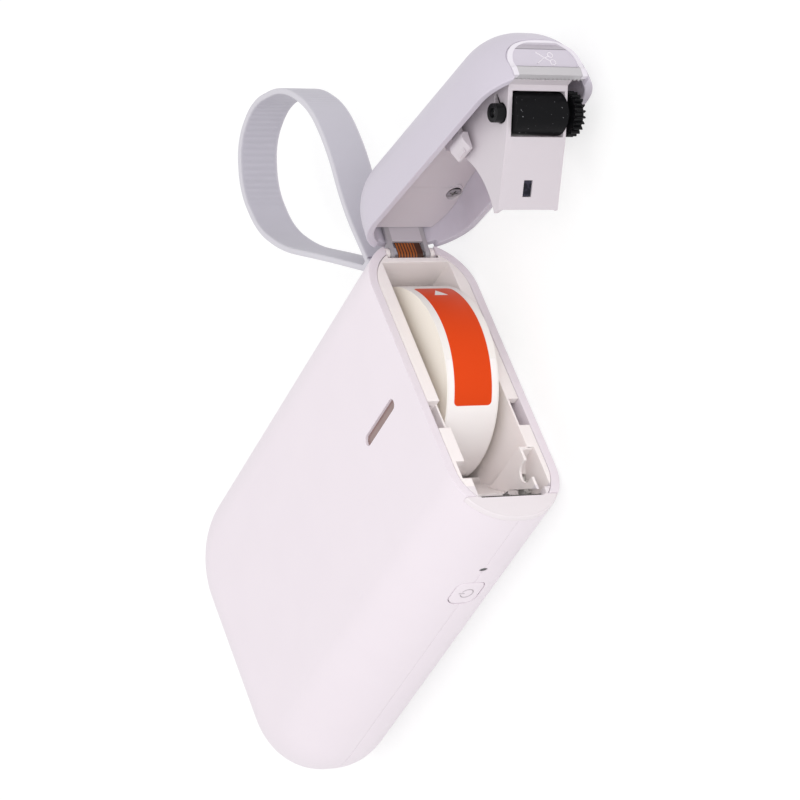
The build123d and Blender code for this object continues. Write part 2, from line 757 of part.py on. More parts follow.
usb_face = base_y + 0.8
with BuildPart() as usb_socket:
    with BuildSketch(Plane.XZ.offset(-usb_face - usb_depth)):
        with Locations((0, mid_z)):
            RectangleRounded(usb_width, usb_height, usb_height / 2 - 0.3)
    extrude(amount=usb_depth)
    with BuildSketch(Plane.XZ.offset(-usb_face - usb_depth + 1)):
        with Locations((0, mid_z)):
            RectangleRounded(usb_width - 0.8, usb_height - 0.8, usb_height / 2 - 0.6)
            Rectangle(usb_width - 2.4, 0.7, mode=Mode.SUBTRACT)
    extrude(amount=usb_depth, mode=Mode.SUBTRACT)
usb_socket.part.label = "usb_socket"
export_step(usb_socket.part, "parts/usb_socket.step")

with BuildPart() as side_board:
    with BuildSketch(Plane.YZ.offset(side_board_x)):
        with Locations(((side_board_low + side_board_high) / 2, mid_z)):
            Rectangle(side_board_high - side_board_low, 2 * (mid_z - side_board_bottom))
    extrude(amount=side_board_thickness)
side_board.part.label = "side_board"
export_step(side_board.part, "parts/side_board.step")

button_inner_x = side_x - wall - 1.6
switch_face = button_inner_x - button_travel - 0.05
side_board_face = side_board_x + side_board_thickness
with BuildPart() as tact_switch:
    with BuildSketch(Plane.YZ.offset(side_board_face)):
        with Locations((button_y, mid_z)):
            RectangleRounded(4.5, 4.5, 0.4)
    extrude(amount=switch_face - side_board_face - 0.35)
    with BuildSketch(Plane.YZ.offset(switch_face - 0.4)):
        with Locations((button_y, mid_z)):
            Circle(1.1)
    extrude(amount=0.4)
tact_switch.part.label = "tact_switch"
export_step(tact_switch.part, "parts/tact_switch.step")

with BuildPart() as power_button:
    with BuildSketch(Plane.YZ.offset(side_x - wall - 0.8)):
        with Locations((button_y, mid_z)):
            RectangleRounded(button_length, button_width, button_corner)
    extrude(amount=wall + 2)
    add(outer_form, mode=Mode.INTERSECT)
    # retaining flange inside the case
    with BuildSketch(Plane.YZ.offset(button_inner_x)):
        with Locations((button_y, mid_z)):
            RectangleRounded(button_length + 1.2, button_width + 1.2, button_corner + 0.3)
    extrude(amount=0.8)
power_button.part.label = "power_button"
export_step(power_button.part, "parts/power_button.step")

with BuildPart() as status_led:
    with BuildSketch(Plane.YZ.offset(side_board_face)):
        with Locations((light_y, mid_z)):
            Rectangle(1.6, 3.2)
    extrude(amount=0.8)
status_led.part.label = "status_led"
export_step(status_led.part, "parts/status_led.step")

with BuildPart() as light_pipe:
    with BuildSketch(Plane.YZ.offset(side_board_face + 0.9)):
        with Locations((light_y, mid_z)):
            Ellipse(0.6, 0.95)
    extrude(amount=side_x - side_board_face - 0.9 - 0.25)
light_pipe.part.label = "light_pipe"
export_step(light_pipe.part, "parts/light_pipe.step")

# The hinge pins are two stubs in the bay's ears, which leave the middle free for the flat ribbon
# cable that comes up through the hinge slot and bends over towards the lid
hinge_reach = arm_inner + arm_thickness + 0.1 + ear_thickness
with BuildPart() as hinge_pin:
    for low in (-hinge_reach, hinge_pin_inner):
        with BuildSketch(Plane.XY.offset(z_front(low))):
            with Locations((hinge_x, hinge_y)):
                Circle(hinge_pin_radius)
        extrude(amount=hinge_reach - hinge_pin_inner)
hinge_pin.part.label = "hinge_pin"
export_step(hinge_pin.part, "parts/hinge_pin.step")

ribbon_x = -bay_left - bay_wall - 0.1 - ribbon_thickness / 2
with BuildPart() as hinge_ribbon:
    with BuildSketch(Plane.XY.offset(mid_z - ribbon_width / 2)):
        with BuildLine() as ribbon_line:
            rise = Line((ribbon_x, hinge_y - 17), (ribbon_x, hinge_y - ribbon_rise + 1))
            bend = RadiusArc(rise @ 1, (ribbon_x - ribbon_rise, hinge_y + 1), -ribbon_rise)
        trace(ribbon_line.line, line_width=ribbon_thickness)
    extrude(amount=ribbon_width)
hinge_ribbon.part.label = "hinge_ribbon"
export_step(hinge_ribbon.part, "parts/hinge_ribbon.step")

# Wrist strap: one moulded band, a closed loop with a T-shaped root that plugs into the case's side.
# The steps are counted from where the band meets the case.
strap_steps = [(0, -0.7), (-13.6, -13.7), (-27.6, -27.7), (-38.6, -34.3), (-51.1, -34.6),
               (-60.6, -28.1), (-62.9, -17.1), (-56.4, -4.3), (-44.6, 2.7), (-31.6, 3.1),
               (-16.6, 0.1), (0, 0.7)]
strap_route = [(-side_x - strap_thickness + x, strap_y + y) for x, y in strap_steps]


def corner_radii(route):
    """Largest arc that suits each corner of a route: 0.45 of the shorter run over half the turn."""
    radii = []
    for before, here, after in zip(route, route[1:], route[2:]):
        run_in = Vector(here[0] - before[0], here[1] - before[1])
        run_out = Vector(after[0] - here[0], after[1] - here[1])
        half_turn = radians(run_in.get_angle(run_out)) / 2
        radii.append(0.45 * min(run_in.length, run_out.length) * cos(half_turn) / sin(half_turn))
    return radii


with BuildPart() as wrist_strap:
    with BuildSketch(Plane.XY.offset(mid_z - strap_width / 2)):
        with BuildLine() as strap_line:
            FilletPolyline(*strap_route, radius=corner_radii(strap_route))
        trace(strap_line.line, line_width=strap_thickness)
        with Locations((-side_x, strap_y)):
            Rectangle(2 * (wall + 1.0), 2 * strap_thickness)
    extrude(amount=strap_width)
    with Locations((-side_x + wall + 1.0, strap_y, mid_z)):
        Box(1.0, 6.0, strap_width - 0.6, align=(Align.MIN, Align.CENTER, Align.CENTER))
wrist_strap.part.label = "wrist_strap"
export_step(wrist_strap.part, "parts/wrist_strap.step")

# The lid, modelled shut and then swung open about the hinge pin
relief_half = 7.6
relief_height = 1.0
notch_half = 9.0
notch_top = parting_y + 9.6
notch_floor_x = side_x - 3.7
frame_thickness = 1.4
cutter_low = parting_y + 1.2
cutter_high = parting_y + 3.2

with BuildSketch() as exit_notch:
    with Locations((parting_y - 5, mid_z)):
        Rectangle(notch_top - parting_y + 5, 2 * notch_half, align=(Align.MIN, Align.CENTER))
    fillet(exit_notch.vertices().group_by(Axis.X)[-1], 5.0)

pan_radius = 40.9
pan_x = roll_x - 6.0
pan_crown = 8.5
pan_left = -side_x + 3.9
pan_right = latch_x - 1.6
pan_thickness = 1.3
pan_centre = (pan_x, parting_y + pan_crown - pan_radius)
lid_screw_x = pan_left + 9.1
lid_screw_sides = 9.2
screw_head_radius = 1.6
screw_head_height = 0.8
screw_shank_radius = 0.8
screw_seat_y = pan_centre[1] + sqrt(pan_radius**2 - (lid_screw_x - pan_x) ** 2) + screw_head_height + 0.1
liner_boss_top = screw_seat_y + 0.8
lid_form = above(outer_form, lid_bottom).solid()

with BuildPart() as lid_shell:
    add(lid_form)
    add(lid_inner_form, mode=Mode.SUBTRACT)
    # bosses for the liner's screws, down from the top wall
    with BuildSketch(Plane.XZ.offset(-top_y)):
        with Locations((lid_screw_x, mid_z - lid_screw_sides), (lid_screw_x, mid_z + lid_screw_sides)):
            Circle(2.3)
    extrude(amount=top_y - liner_boss_top - 0.1)
    with BuildSketch(Plane.XZ.offset(-screw_seat_y - 4)):
        with Locations((lid_screw_x, mid_z - lid_screw_sides), (lid_screw_x, mid_z + lid_screw_sides)):
            Circle(screw_shank_radius)
    extrude(amount=6, mode=Mode.SUBTRACT)
    add(lid_form, mode=Mode.INTERSECT)
    # notch in the exit end
    with BuildSketch(Plane.YZ.offset(side_x - 8)):
        add(exit_notch.sketch)
    extrude(amount=12, mode=Mode.SUBTRACT)
    # relief over the hinge slot
    with Locations((-side_x, parting_y, mid_z)):
        Box(2 * (wall + 2.6), 2 * (lid_bottom - parting_y + relief_height), 2 * relief_half,
            mode=Mode.SUBTRACT)
lid_shell_open = opened(lid_shell.part)
lid_shell_open.label = "lid_shell"
export_step(lid_shell_open, "parts/lid_shell.step")

with BuildPart() as exit_frame:
    with BuildSketch(Plane.YZ.offset(notch_floor_x - frame_thickness)):
        with BuildSketch(mode=Mode.PRIVATE) as frame_band:
            with Locations((cutter_high, mid_z)):
                Rectangle(20, 2 * body_depth, align=(Align.MIN, Align.CENTER))
        add(exit_notch.sketch)
        add(frame_band.sketch, mode=Mode.INTERSECT)
    extrude(amount=frame_thickness)
exit_frame_open = opened(exit_frame.part)
exit_frame_open.label = "exit_frame"
export_step(exit_frame_open, "parts/exit_frame.step")

# The tear bar's teeth are on the inner half of its lower edge, so it is smooth outside
cutter_teeth = 18
cutter_proud = 0.7
with BuildPart() as cutter_bar:
    with BuildSketch(Plane.YZ.offset(notch_floor_x - frame_thickness)):
        with Locations(((cutter_low + cutter_high) / 2, mid_z)):
            Rectangle(cutter_high - cutter_low, 2 * notch_half - 0.1)
    extrude(amount=frame_thickness + cutter_proud)
    with BuildSketch(Plane.YZ.offset(notch_floor_x - frame_thickness)):
        with Locations((cutter_low, mid_z)):
            with GridLocations(0, (2 * notch_half - 0.4) / cutter_teeth, 1, cutter_teeth):
                Rectangle(0.45, 0.45, rotation=45)
    extrude(amount=frame_thickness / 2, mode=Mode.SUBTRACT)
cutter_bar_open = opened(cutter_bar.part)
cutter_bar_open.label = "cutter_bar"
export_step(cutter_bar_open, "parts/cutter_bar.step")

# Lid liner: a curved pan over the roll, with the carrier that holds the platen and the latch hooks
carrier_x = notch_floor_x - frame_thickness - 0.1
rib_left = latch_x - 8.0
front_arc = 20.9
rear_arc = 22.3
keyhole_radius = bush_radius + 0.15
hook_width = 5.6
hook_stem = 2.6
hook_inner = 9.0
hook_thickness = 1.3
hook_nose = 10.8
hook_drop = 3.5
sensor_drop = 11.4
sensor_length = 3.5
sensor_width = 2.1
sensor_depth = 1.5
face_knee_v = Vector(*face_knee)


def carrier_plane(run, out, s, depth=0):
    """Plane on the carrier's face, s along the run from the knee, facing into the carrier."""
    origin = face_knee_v + run * s - out * depth
    return Plane(origin=(origin.X, origin.Y, mid_z), x_dir=(run.X, run.Y, 0),
                 z_dir=(-out.X, -out.Y, 0))


with BuildSketch() as pan_side:
    with Locations(pan_centre):
        Circle(pan_radius + pan_thickness)
        Circle(pan_radius, mode=Mode.SUBTRACT)
    with Locations((pan_left, parting_y)):
        Rectangle(pan_right - pan_left, 20, align=(Align.MIN, Align.MIN), mode=Mode.INTERSECT)

with BuildSketch() as carrier_side:
    with BuildLine():
        Polyline(face_tip, face_knee, face_top, (carrier_x, face_top[1]), (carrier_x, top_y),
                 (rib_left, top_y), (rib_left, roll_y), (roll_x, roll_y), close=True)
    make_face()

with BuildSketch() as face_band:
    with BuildLine():
        Polyline(face_tip, face_knee, face_top, (carrier_x, face_top[1]), (carrier_x, top_y))
        offset(amount=carrier_face_plate, side=Side.LEFT)
    make_face()

window_low = platen_centre - face_knee_v
window_s = window_low.X * upper_run.X + window_low.Y * upper_run.Y

with BuildPart() as lid_liner:
    with BuildSketch(Plane.XY):
        add(pan_side.sketch)
    extrude(amount=body_depth)
    # bosses round the screws
    with BuildSketch(Plane.XZ.offset(-liner_boss_top)):
        with Locations((lid_screw_x, mid_z - lid_screw_sides), (lid_screw_x, mid_z + lid_screw_sides)):
            Circle(2.6)
    extrude(amount=liner_boss_top - screw_seat_y + 0.5)
    # side plates of the carrier, cut round over the roll
    for side, plate, arc in ((carrier_front, -carrier_plate, front_arc),
                             (-carrier_rear, -carrier_rear_plate, rear_arc)):
        with BuildSketch(Plane.XY.offset(z_front(side))):
            add(carrier_side.sketch)
            with Locations((roll_x, roll_y)):
                Circle(arc, mode=Mode.SUBTRACT)
        extrude(amount=plate if side > 0 else -plate)
    with BuildSketch(Plane.XY.offset(z_front(-carrier_rear))):
        add(face_band.sketch)
    extrude(amount=carrier_front + carrier_rear)
    # arms of the latch hooks and the ledges they hang from
    for side in (1, -1):
        with BuildSketch(Plane.YZ.offset(latch_x - hook_stem / 2)):
            with Locations((parting_y - hook_drop, z_front(side * (hook_inner + hook_thickness / 2)))):
                Rectangle(hook_drop + 9, hook_thickness, align=(Align.MIN, Align.CENTER))
            with Locations((parting_y + 5.5, z_front(side * (carrier_rear - 0.5)))):
                Rectangle(1.5, 2 * (hook_inner + hook_thickness - carrier_rear + 0.5),
                          align=(Align.MIN, Align.CENTER))
        extrude(amount=hook_stem)
        with BuildSketch(Plane.YZ.offset(latch_x - hook_width / 2)):
            with BuildLine():
                Polyline((parting_y + 0.6, z_front(side * hook_inner)),
                         (parting_y + 0.6, z_front(side * (hook_inner + hook_thickness))),
                         (parting_y - 0.2, z_front(side * hook_nose)),
                         (parting_y - 1.4, z_front(side * hook_nose)),
                         (parting_y - hook_drop, z_front(side * (hook_inner + 0.7))),
                         (parting_y - hook_drop, z_front(side * hook_inner)), close=True)
            make_face()
        extrude(amount=hook_width)
    add(lid_liner_form, mode=Mode.INTERSECT)
    # roller's window in the face, and the hole that the sensor looks through
    with BuildSketch(carrier_plane(upper_run, upper_out, window_s, -1)):
        with Locations((0, -(carrier_front - carrier_plate - carrier_rear + carrier_rear_plate) / 2)):
            Rectangle(2 * platen_radius + 0.2,
                      carrier_front - carrier_plate + carrier_rear - carrier_rear_plate)
    extrude(amount=carrier_face_plate + 2, mode=Mode.SUBTRACT)
    with BuildSketch(carrier_plane(lower_run, lower_out, -sensor_drop, -1)):
        with Locations((0, -sensor_depth)):
            Rectangle(sensor_length, sensor_width)
    extrude(amount=carrier_face_plate + 2, mode=Mode.SUBTRACT)
    # keyhole for the front bush and the round hole for the rear one
    with BuildSketch(Plane.XY.offset(mid_z)):
        with Locations((platen_x, platen_y)):
            Circle(keyhole_radius)
        with Locations((platen_x, platen_y + 2.4)):
            SlotCenterToCenter(2.6, 1.6, rotation=90)
    extrude(amount=carrier_front + 1, mode=Mode.SUBTRACT)
    with BuildSketch(Plane.XY.offset(mid_z)):
        with Locations((platen_x, platen_y)):
            Circle(keyhole_radius)
    extrude(amount=-(carrier_rear + 1), mode=Mode.SUBTRACT)
    # screw holes and their counterbores
    with BuildSketch(Plane.XZ.offset(-screw_seat_y)):
        with Locations((lid_screw_x, mid_z - lid_screw_sides), (lid_screw_x, mid_z + lid_screw_sides)):
            Circle(screw_head_radius + 0.2)
    extrude(amount=6, mode=Mode.SUBTRACT)
    with BuildSketch(Plane.XZ.offset(-screw_seat_y - 3)):
        with Locations((lid_screw_x, mid_z - lid_screw_sides), (lid_screw_x, mid_z + lid_screw_sides)):
            Circle(screw_shank_radius + 0.1)
    extrude(amount=6, mode=Mode.SUBTRACT)
lid_liner_open = opened(lid_liner.part)
lid_liner_open.label = "lid_liner"
export_step(lid_liner_open, "parts/lid_liner.step")

with BuildPart() as lid_screws:
    with BuildSketch(Plane.XZ.offset(-screw_seat_y)):
        with Locations((lid_screw_x, mid_z - lid_screw_sides), (lid_screw_x, mid_z + lid_screw_sides)):
            Circle(screw_head_radius)
    extrude(amount=screw_head_height)
    with BuildSketch(Plane.XZ.offset(-screw_seat_y - 3.8)):
        with Locations((lid_screw_x, mid_z - lid_screw_sides), (lid_screw_x, mid_z + lid_screw_sides)):
            Circle(screw_shank_radius)
    extrude(amount=3.8)
    # cross recess
    with BuildSketch(Plane.XZ.offset(-screw_seat_y + screw_head_height)):
        with Locations((lid_screw_x, mid_z - lid_screw_sides), (lid_screw_x, mid_z + lid_screw_sides)):
            Rectangle(2.0, 0.45)
            Rectangle(0.45, 2.0)
    extrude(amount=-0.5, mode=Mode.SUBTRACT)
lid_screws_open = opened(lid_screws.part)
lid_screws_open.label = "lid_screws"
export_step(lid_screws_open, "parts/lid_screws.step")

with BuildPart() as gap_sensor:
    with BuildSketch(carrier_plane(lower_run, lower_out, -sensor_drop, 0.3)):
        with Locations((0, -sensor_depth)):
            Rectangle(sensor_length - 0.2, sensor_width - 0.2)
    extrude(amount=carrier_face_plate - 0.3)
    with BuildSketch(carrier_plane(lower_run, lower_out, -sensor_drop, carrier_face_plate + 0.05)):
        with Locations((0, -sensor_depth)):
            Rectangle(sensor_length + 1, sensor_width + 2)
    extrude(amount=1.2)
    with BuildSketch(carrier_plane(lower_run, lower_out, -sensor_drop, carrier_face_plate - 0.1)):
        with Locations((0, -sensor_depth)):
            Rectangle(sensor_length - 0.2, sensor_width - 0.2)
    extrude(amount=0.4)
gap_sensor_open = opened(gap_sensor.part)
gap_sensor_open.label = "gap_sensor"
export_step(gap_sensor_open, "parts/gap_sensor.step")

# Hinge bracket: two arms with eyes for the pin, joined by a tongue plate
arm_left = hinge_x - 0.4
arm_right = hinge_x + eye_radius
arm_top = parting_y + 7.5
arm_step = parting_y + 0.8
tongue_low = parting_y + 0.9
tongue_thickness = 1.0
with BuildPart() as hinge_bracket:
    for side in (1, -1):
        arm_z = z_front(side * (arm_inner + arm_thickness / 2))
        with BuildSketch(Plane.XY.offset(arm_z - arm_thickness / 2)):
            with Locations((hinge_x, hinge_y)):
                Circle(eye_radius)
            with BuildLine():
                Polyline((arm_left, hinge_y), (arm_right, hinge_y), (arm_right, arm_top),
                         (arm_right - tongue_thickness, arm_top - 2.3),
                         (arm_right - tongue_thickness, arm_step), (arm_left, arm_step), close=True)
            make_face()
            with Locations((hinge_x, hinge_y)):
                Circle(hinge_pin_radius + shaft_clearance, mode=Mode.SUBTRACT)
        extrude(amount=arm_thickness)
    with Locations((arm_right, tongue_low, mid_z)):
        Box(tongue_thickness, arm_top - 2.3 - tongue_low, 2 * arm_inner + 0.4,
            align=(Align.MAX, Align.MIN, Align.CENTER))
hinge_bracket_open = opened(hinge_bracket.part)
hinge_bracket_open.label = "hinge_bracket"
export_step(hinge_bracket_open, "parts/hinge_bracket.step")

# Platen: a rubber roller on a steel shaft, with its gear at the rear and a bush at each end
with BuildPart() as platen_roller:
    with BuildSketch(Plane.XY.offset(z_front(-platen_rear))):
        with Locations((platen_x, platen_y)):
            Circle(platen_radius)
            Circle(shaft_radius, mode=Mode.SUBTRACT)
    extrude(amount=platen_front + platen_rear)
platen_roller_open = opened(platen_roller.part)
platen_roller_open.label = "platen_roller"
export_step(platen_roller_open, "parts/platen_roller.step")

with BuildPart() as platen_shaft:
    with BuildSketch(Plane.XY.offset(gear_floor - 0.2)):
        with Locations((platen_x, platen_y)):
            Circle(shaft_radius)
    extrude(amount=z_front(bush_reach) - 0.8 - gear_floor + 0.2)
platen_shaft_open = opened(platen_shaft.part)
platen_shaft_open.label = "platen_shaft"
export_step(platen_shaft_open, "parts/platen_shaft.step")

roller_gear = gear(roller_teeth, roller_phase, platen_centre, gear_floor, gear_top, shaft_radius)
roller_gear_open = opened(roller_gear)
roller_gear_open.label = "roller_gear"
export_step(roller_gear_open, "parts/roller_gear.step")

with BuildPart() as front_bush:
    with BuildSketch(Plane.XY.offset(z_front(carrier_front - carrier_plate + 0.05))):
        with Locations((platen_x, platen_y)):
            Circle(bush_radius)
            Circle(shaft_radius + shaft_clearance, mode=Mode.SUBTRACT)
    extrude(amount=bush_reach - carrier_front + carrier_plate - 0.05)
front_bush_open = opened(front_bush.part)
front_bush_open.label = "front_bush"
export_step(front_bush_open, "parts/front_bush.step")

with BuildPart() as rear_bush:
    with BuildSketch(Plane.XY.offset(gear_top + 0.05)):
        with Locations((platen_x, platen_y)):
            Circle(bush_radius)
            Circle(shaft_radius + shaft_clearance, mode=Mode.SUBTRACT)
    extrude(amount=z_front(-carrier_rear) + carrier_rear_plate - gear_top - 0.1)
rear_bush_open = opened(rear_bush.part)
rear_bush_open.label = "rear_bush"
export_step(rear_bush_open, "parts/rear_bush.step")
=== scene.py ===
# A pocket label printer, lying on its back with its lid standing open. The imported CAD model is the
# frame: everything here is in its metres, with +Y towards the lid and +Z out of the front face.
import bpy
import bmesh
import json
import math
from mathutils import Matrix, Vector


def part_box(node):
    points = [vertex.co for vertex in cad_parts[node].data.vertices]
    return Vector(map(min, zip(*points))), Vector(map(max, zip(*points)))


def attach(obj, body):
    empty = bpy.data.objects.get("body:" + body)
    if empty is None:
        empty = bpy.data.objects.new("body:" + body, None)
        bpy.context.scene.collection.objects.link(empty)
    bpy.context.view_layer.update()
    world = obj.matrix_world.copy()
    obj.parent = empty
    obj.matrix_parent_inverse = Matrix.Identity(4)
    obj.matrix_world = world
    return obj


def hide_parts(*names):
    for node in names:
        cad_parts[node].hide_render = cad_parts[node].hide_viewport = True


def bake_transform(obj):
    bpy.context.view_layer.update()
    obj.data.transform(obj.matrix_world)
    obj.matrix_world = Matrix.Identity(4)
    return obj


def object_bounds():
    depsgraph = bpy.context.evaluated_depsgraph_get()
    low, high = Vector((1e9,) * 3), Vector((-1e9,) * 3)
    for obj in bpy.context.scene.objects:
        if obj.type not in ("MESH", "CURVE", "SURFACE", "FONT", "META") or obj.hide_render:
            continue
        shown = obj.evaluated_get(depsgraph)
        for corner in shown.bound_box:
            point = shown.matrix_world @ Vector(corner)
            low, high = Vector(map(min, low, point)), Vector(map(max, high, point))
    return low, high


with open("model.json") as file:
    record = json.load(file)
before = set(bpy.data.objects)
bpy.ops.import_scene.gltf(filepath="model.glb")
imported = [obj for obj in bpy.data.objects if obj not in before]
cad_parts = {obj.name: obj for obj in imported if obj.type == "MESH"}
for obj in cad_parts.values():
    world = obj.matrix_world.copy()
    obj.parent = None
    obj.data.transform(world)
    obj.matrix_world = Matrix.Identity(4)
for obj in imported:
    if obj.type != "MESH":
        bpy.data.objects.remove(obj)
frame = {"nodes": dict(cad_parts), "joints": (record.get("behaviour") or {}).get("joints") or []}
cad_low, cad_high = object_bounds()
mm = 0.001

# The camera stands where the photograph was taken from, well off to the exit side and above the lid.
# The picture is rolled, so that the case leans across it.
camera_place = Vector((391.2, 585.3, 418.1)) * mm
camera_right = Vector((0.32520, 0.39238, -0.86040))
camera_up = Vector((-0.79819, 0.60179, -0.02725))
camera_data = bpy.data.cameras.new("camera")
camera_data.sensor_width = 36
camera_data.lens = 162.1
camera_data.clip_start = 0.01
camera_data.clip_end = 20
camera = bpy.data.objects.new("camera", camera_data)
camera_back = camera_right.cross(camera_up).normalized()
camera.matrix_world = Matrix.Translation(camera_place) @ Matrix(
    (camera_right, camera_up, camera_back)).transposed().to_4x4()
bpy.context.scene.collection.objects.link(camera)
bpy.context.scene.camera = camera

# Case: a front and a back half, moulded in satin white plastic with a fine spark-eroded grain. They
# meet on the middle of the thickness, where their softened edges leave a thin groove all round.
case_colour = (0.83, 0.755, 0.81)
case_soft = 0.14 * mm
same_spot = 0.002 * mm
flat_angle, crease_angle = math.radians(0.3), math.radians(50)


class Socket:
    """One output of a shader node. Sums on it add Math nodes, so a mask reads as plain Python."""

    def __init__(self, tree, out):
        self.tree, self.out = tree, out

    def maths(self, operation, *values):
        """A Math node of the given numbers and sockets."""
        made = self.tree.nodes.new("ShaderNodeMath")
        made.operation = operation
        for slot, value in zip(made.inputs, values):
            join(self.tree, value, slot)
        return Socket(self.tree, made.outputs[0])

    def __add__(self, other):
        return self.maths("ADD", self, other)

    def __sub__(self, other):
        return self.maths("SUBTRACT", self, other)

    def __rsub__(self, other):
        return self.maths("SUBTRACT", other, self)

    def __mul__(self, other):
        return self.maths("MULTIPLY", self, other)

    def __truediv__(self, other):
        return self.maths("DIVIDE", self, other)

    def __abs__(self):
        return self.maths("ABSOLUTE", self)

    __radd__ = __add__
    __rmul__ = __mul__

    def larger(self, other):
        return self.maths("MAXIMUM", self, other)

    def smaller(self, other):
        return self.maths("MINIMUM", self, other)

    def above(self, edge, blur):
        """0 below the edge and 1 above it, with a soft step as wide as blur."""
        return ((self - (edge - blur / 2)) / blur).larger(0.0).smaller(1.0)

    def below(self, edge, blur):
        return 1 - self.above(edge, blur)

    def wave(self, pitch):
        """A ripple from 0 to 1 that repeats with the pitch."""
        return 0.5 + 0.5 * self.maths("SINE", self * (2 * math.pi / pitch))

    def span(self, other):
        """Distance from the middle, where this socket and the other are the offsets from it."""
        return self.maths("SQRT", self * self + other * other)

    def turn(self, other):
        """Angle about the middle, from this offset's direction towards the other's."""
        return self.maths("ARCTAN2", other, self)


def join(tree, value, slot):
    """Puts a number, a colour or another node's output into a node's input."""
    if isinstance(value, Socket):
        tree.links.new(value.out, slot)
    elif hasattr(value, "__len__") and len(slot.default_value) == 4 and len(value) == 3:
        slot.default_value = (*value, 1.0)
    else:
        slot.default_value = value


class Finish:
    """A material on one Principled shader, with its nodes made by short calls."""

    def __init__(self, name, colour, roughness, **plain):
        self.material = bpy.data.materials.new(name)
        self.material.use_nodes = True
        self.tree = self.material.node_tree
        self.shader = self.tree.nodes["Principled BSDF"]
        self.place = self.node("ShaderNodeTexCoord", out="Object")
        self.feed(Base_Color=colour, Roughness=roughness, **plain)

    def feed(self, **values):
        """Numbers, colours or sockets for the shader's inputs, by name."""
        for slot, value in values.items():
            join(self.tree, value, self.shader.inputs[slot.replace("_", " ")])

    def node(self, kind, settings=(), out=0, numbered=(), **named):
        """Any node: its settings first, then its sockets' values or links, by number or by name."""
        made = self.tree.nodes.new(kind)
        for key, value in dict(settings).items():
            setattr(made, key, value)
        for slot, value in dict(numbered).items():
            join(self.tree, value, made.inputs[slot])
        for slot, value in named.items():
            join(self.tree, value, made.inputs[slot.replace("_", " ")])
        return Socket(self.tree, made.outputs[out])

    def noise(self, size, detail=2.0, place=None, roughness=0.5):
        """Cloudy noise whose lumps are about size across, in metres."""
        return self.node("ShaderNodeTexNoise", Vector=place or self.place, Scale=1 / size,
                         Detail=detail, Roughness=roughness)

    def along(self, axis):
        """The frame's own x, y or z on the surface, in metres."""
        return self.node("ShaderNodeSeparateXYZ", Vector=self.place, out=axis)

    def point(self, x, y, z):
        """Coordinates put together from three values, to stretch or bend a texture."""
        return self.node("ShaderNodeCombineXYZ", X=x, Y=y, Z=z)

    def blend(self, share, first, second):
        """Colour that goes from the first to the second with the share."""
        return self.node("ShaderNodeMix", {"data_type": "RGBA"}, out=2,
                         numbered={0: share, 6: first, 7: second})

    def relief(self, height, depth):
        """Normal bent by a height from 0 to 1 that stands for depth in metres."""
        return self.node("ShaderNodeBump", Height=height, Distance=depth)


def moulded(name, colour, roughness=0.42, grain=0.22 * mm, depth=0.004 * mm, tint=0.03):
    """Moulded plastic: a fine grain, with faint clouds in the colour and the gloss."""
    finish = Finish(name, colour, roughness)
    clouds = finish.noise(12 * mm, 3)
    darker = [(1 - tint) * part for part in colour]
    finish.feed(Base_Color=finish.blend(clouds, colour, darker),
                Roughness=roughness - 0.05 + 0.1 * clouds,
                Normal=finish.relief(finish.noise(grain, 2), depth))
    return finish


def dress(node, finish):
    """Gives a CAD node its finish."""
    thing = frame["nodes"][node]
    thing.data.materials.clear()
    thing.data.materials.append(finish.material)


def settle(name, mesh, finish, slot, body, *stands_for):
    """Puts a new piece on its body, with its finish, in place of the nodes it stands for. The slot is
    not used.
    """
    mesh.materials.clear()
    mesh.materials.append(finish.material)
    piece = bpy.data.objects.new(name, mesh)
    bpy.context.scene.collection.objects.link(piece)
    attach(piece, body)
    if stands_for:
        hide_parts(*stands_for)
    return piece


def softened(node, body, radius, finish, slot, sharp=50, steps=2):
    """A node's own form with every sharp edge rounded, as the real mould leaves it."""
    shaper = bmesh.new()
    shaper.from_mesh(frame["nodes"][node].data)
    bmesh.ops.remove_doubles(shaper, verts=shaper.verts, dist=same_spot)
    bmesh.ops.dissolve_limit(shaper, angle_limit=flat_angle, verts=shaper.verts, edges=shaper.edges)
    corners = [edge for edge in shaper.edges
               if edge.is_manifold and edge.calc_face_angle(0) > math.radians(sharp)]
    bmesh.ops.bevel(shaper, geom=corners, offset=radius, offset_type="OFFSET", segments=steps,
                    profile=0.5, affect="EDGES", clamp_overlap=False)
    for face in shaper.faces:
        face.smooth = True
    mesh = bpy.data.meshes.new(node + "_soft")
    shaper.to_mesh(mesh)
    shaper.free()
    if "custom_normal" in mesh.attributes:
        mesh.attributes.remove(mesh.attributes["custom_normal"])
    mesh.set_sharp_from_angle(angle=crease_angle)
    piece = settle(node + "_soft", mesh, finish, slot, body, node)
    even = piece.modifiers.new("even", "WEIGHTED_NORMAL")
    even.keep_sharp = True


case_white = moulded("case_white", case_colour)
for half in ("front_shell", "back_shell"):
    softened(half, "body", case_soft, case_white, "case_white")

# Window: a slot in the front with a smoke-brown clear strip behind it, through which the roll's
# fill can be seen. The strip is drawn opaque, and its dark colour is its own smoke tint together
# with painted shade of the bay behind it.
window_tint = Finish("window_tint", (0.26, 0.165, 0.15), 0.16, Coat_Weight=0.4)
smoke = window_tint.noise(3 * mm, 2)
window_tint.feed(Base_Color=window_tint.blend(smoke, (0.30, 0.19, 0.175), (0.22, 0.14, 0.13)))
dress("window_lens", window_tint)

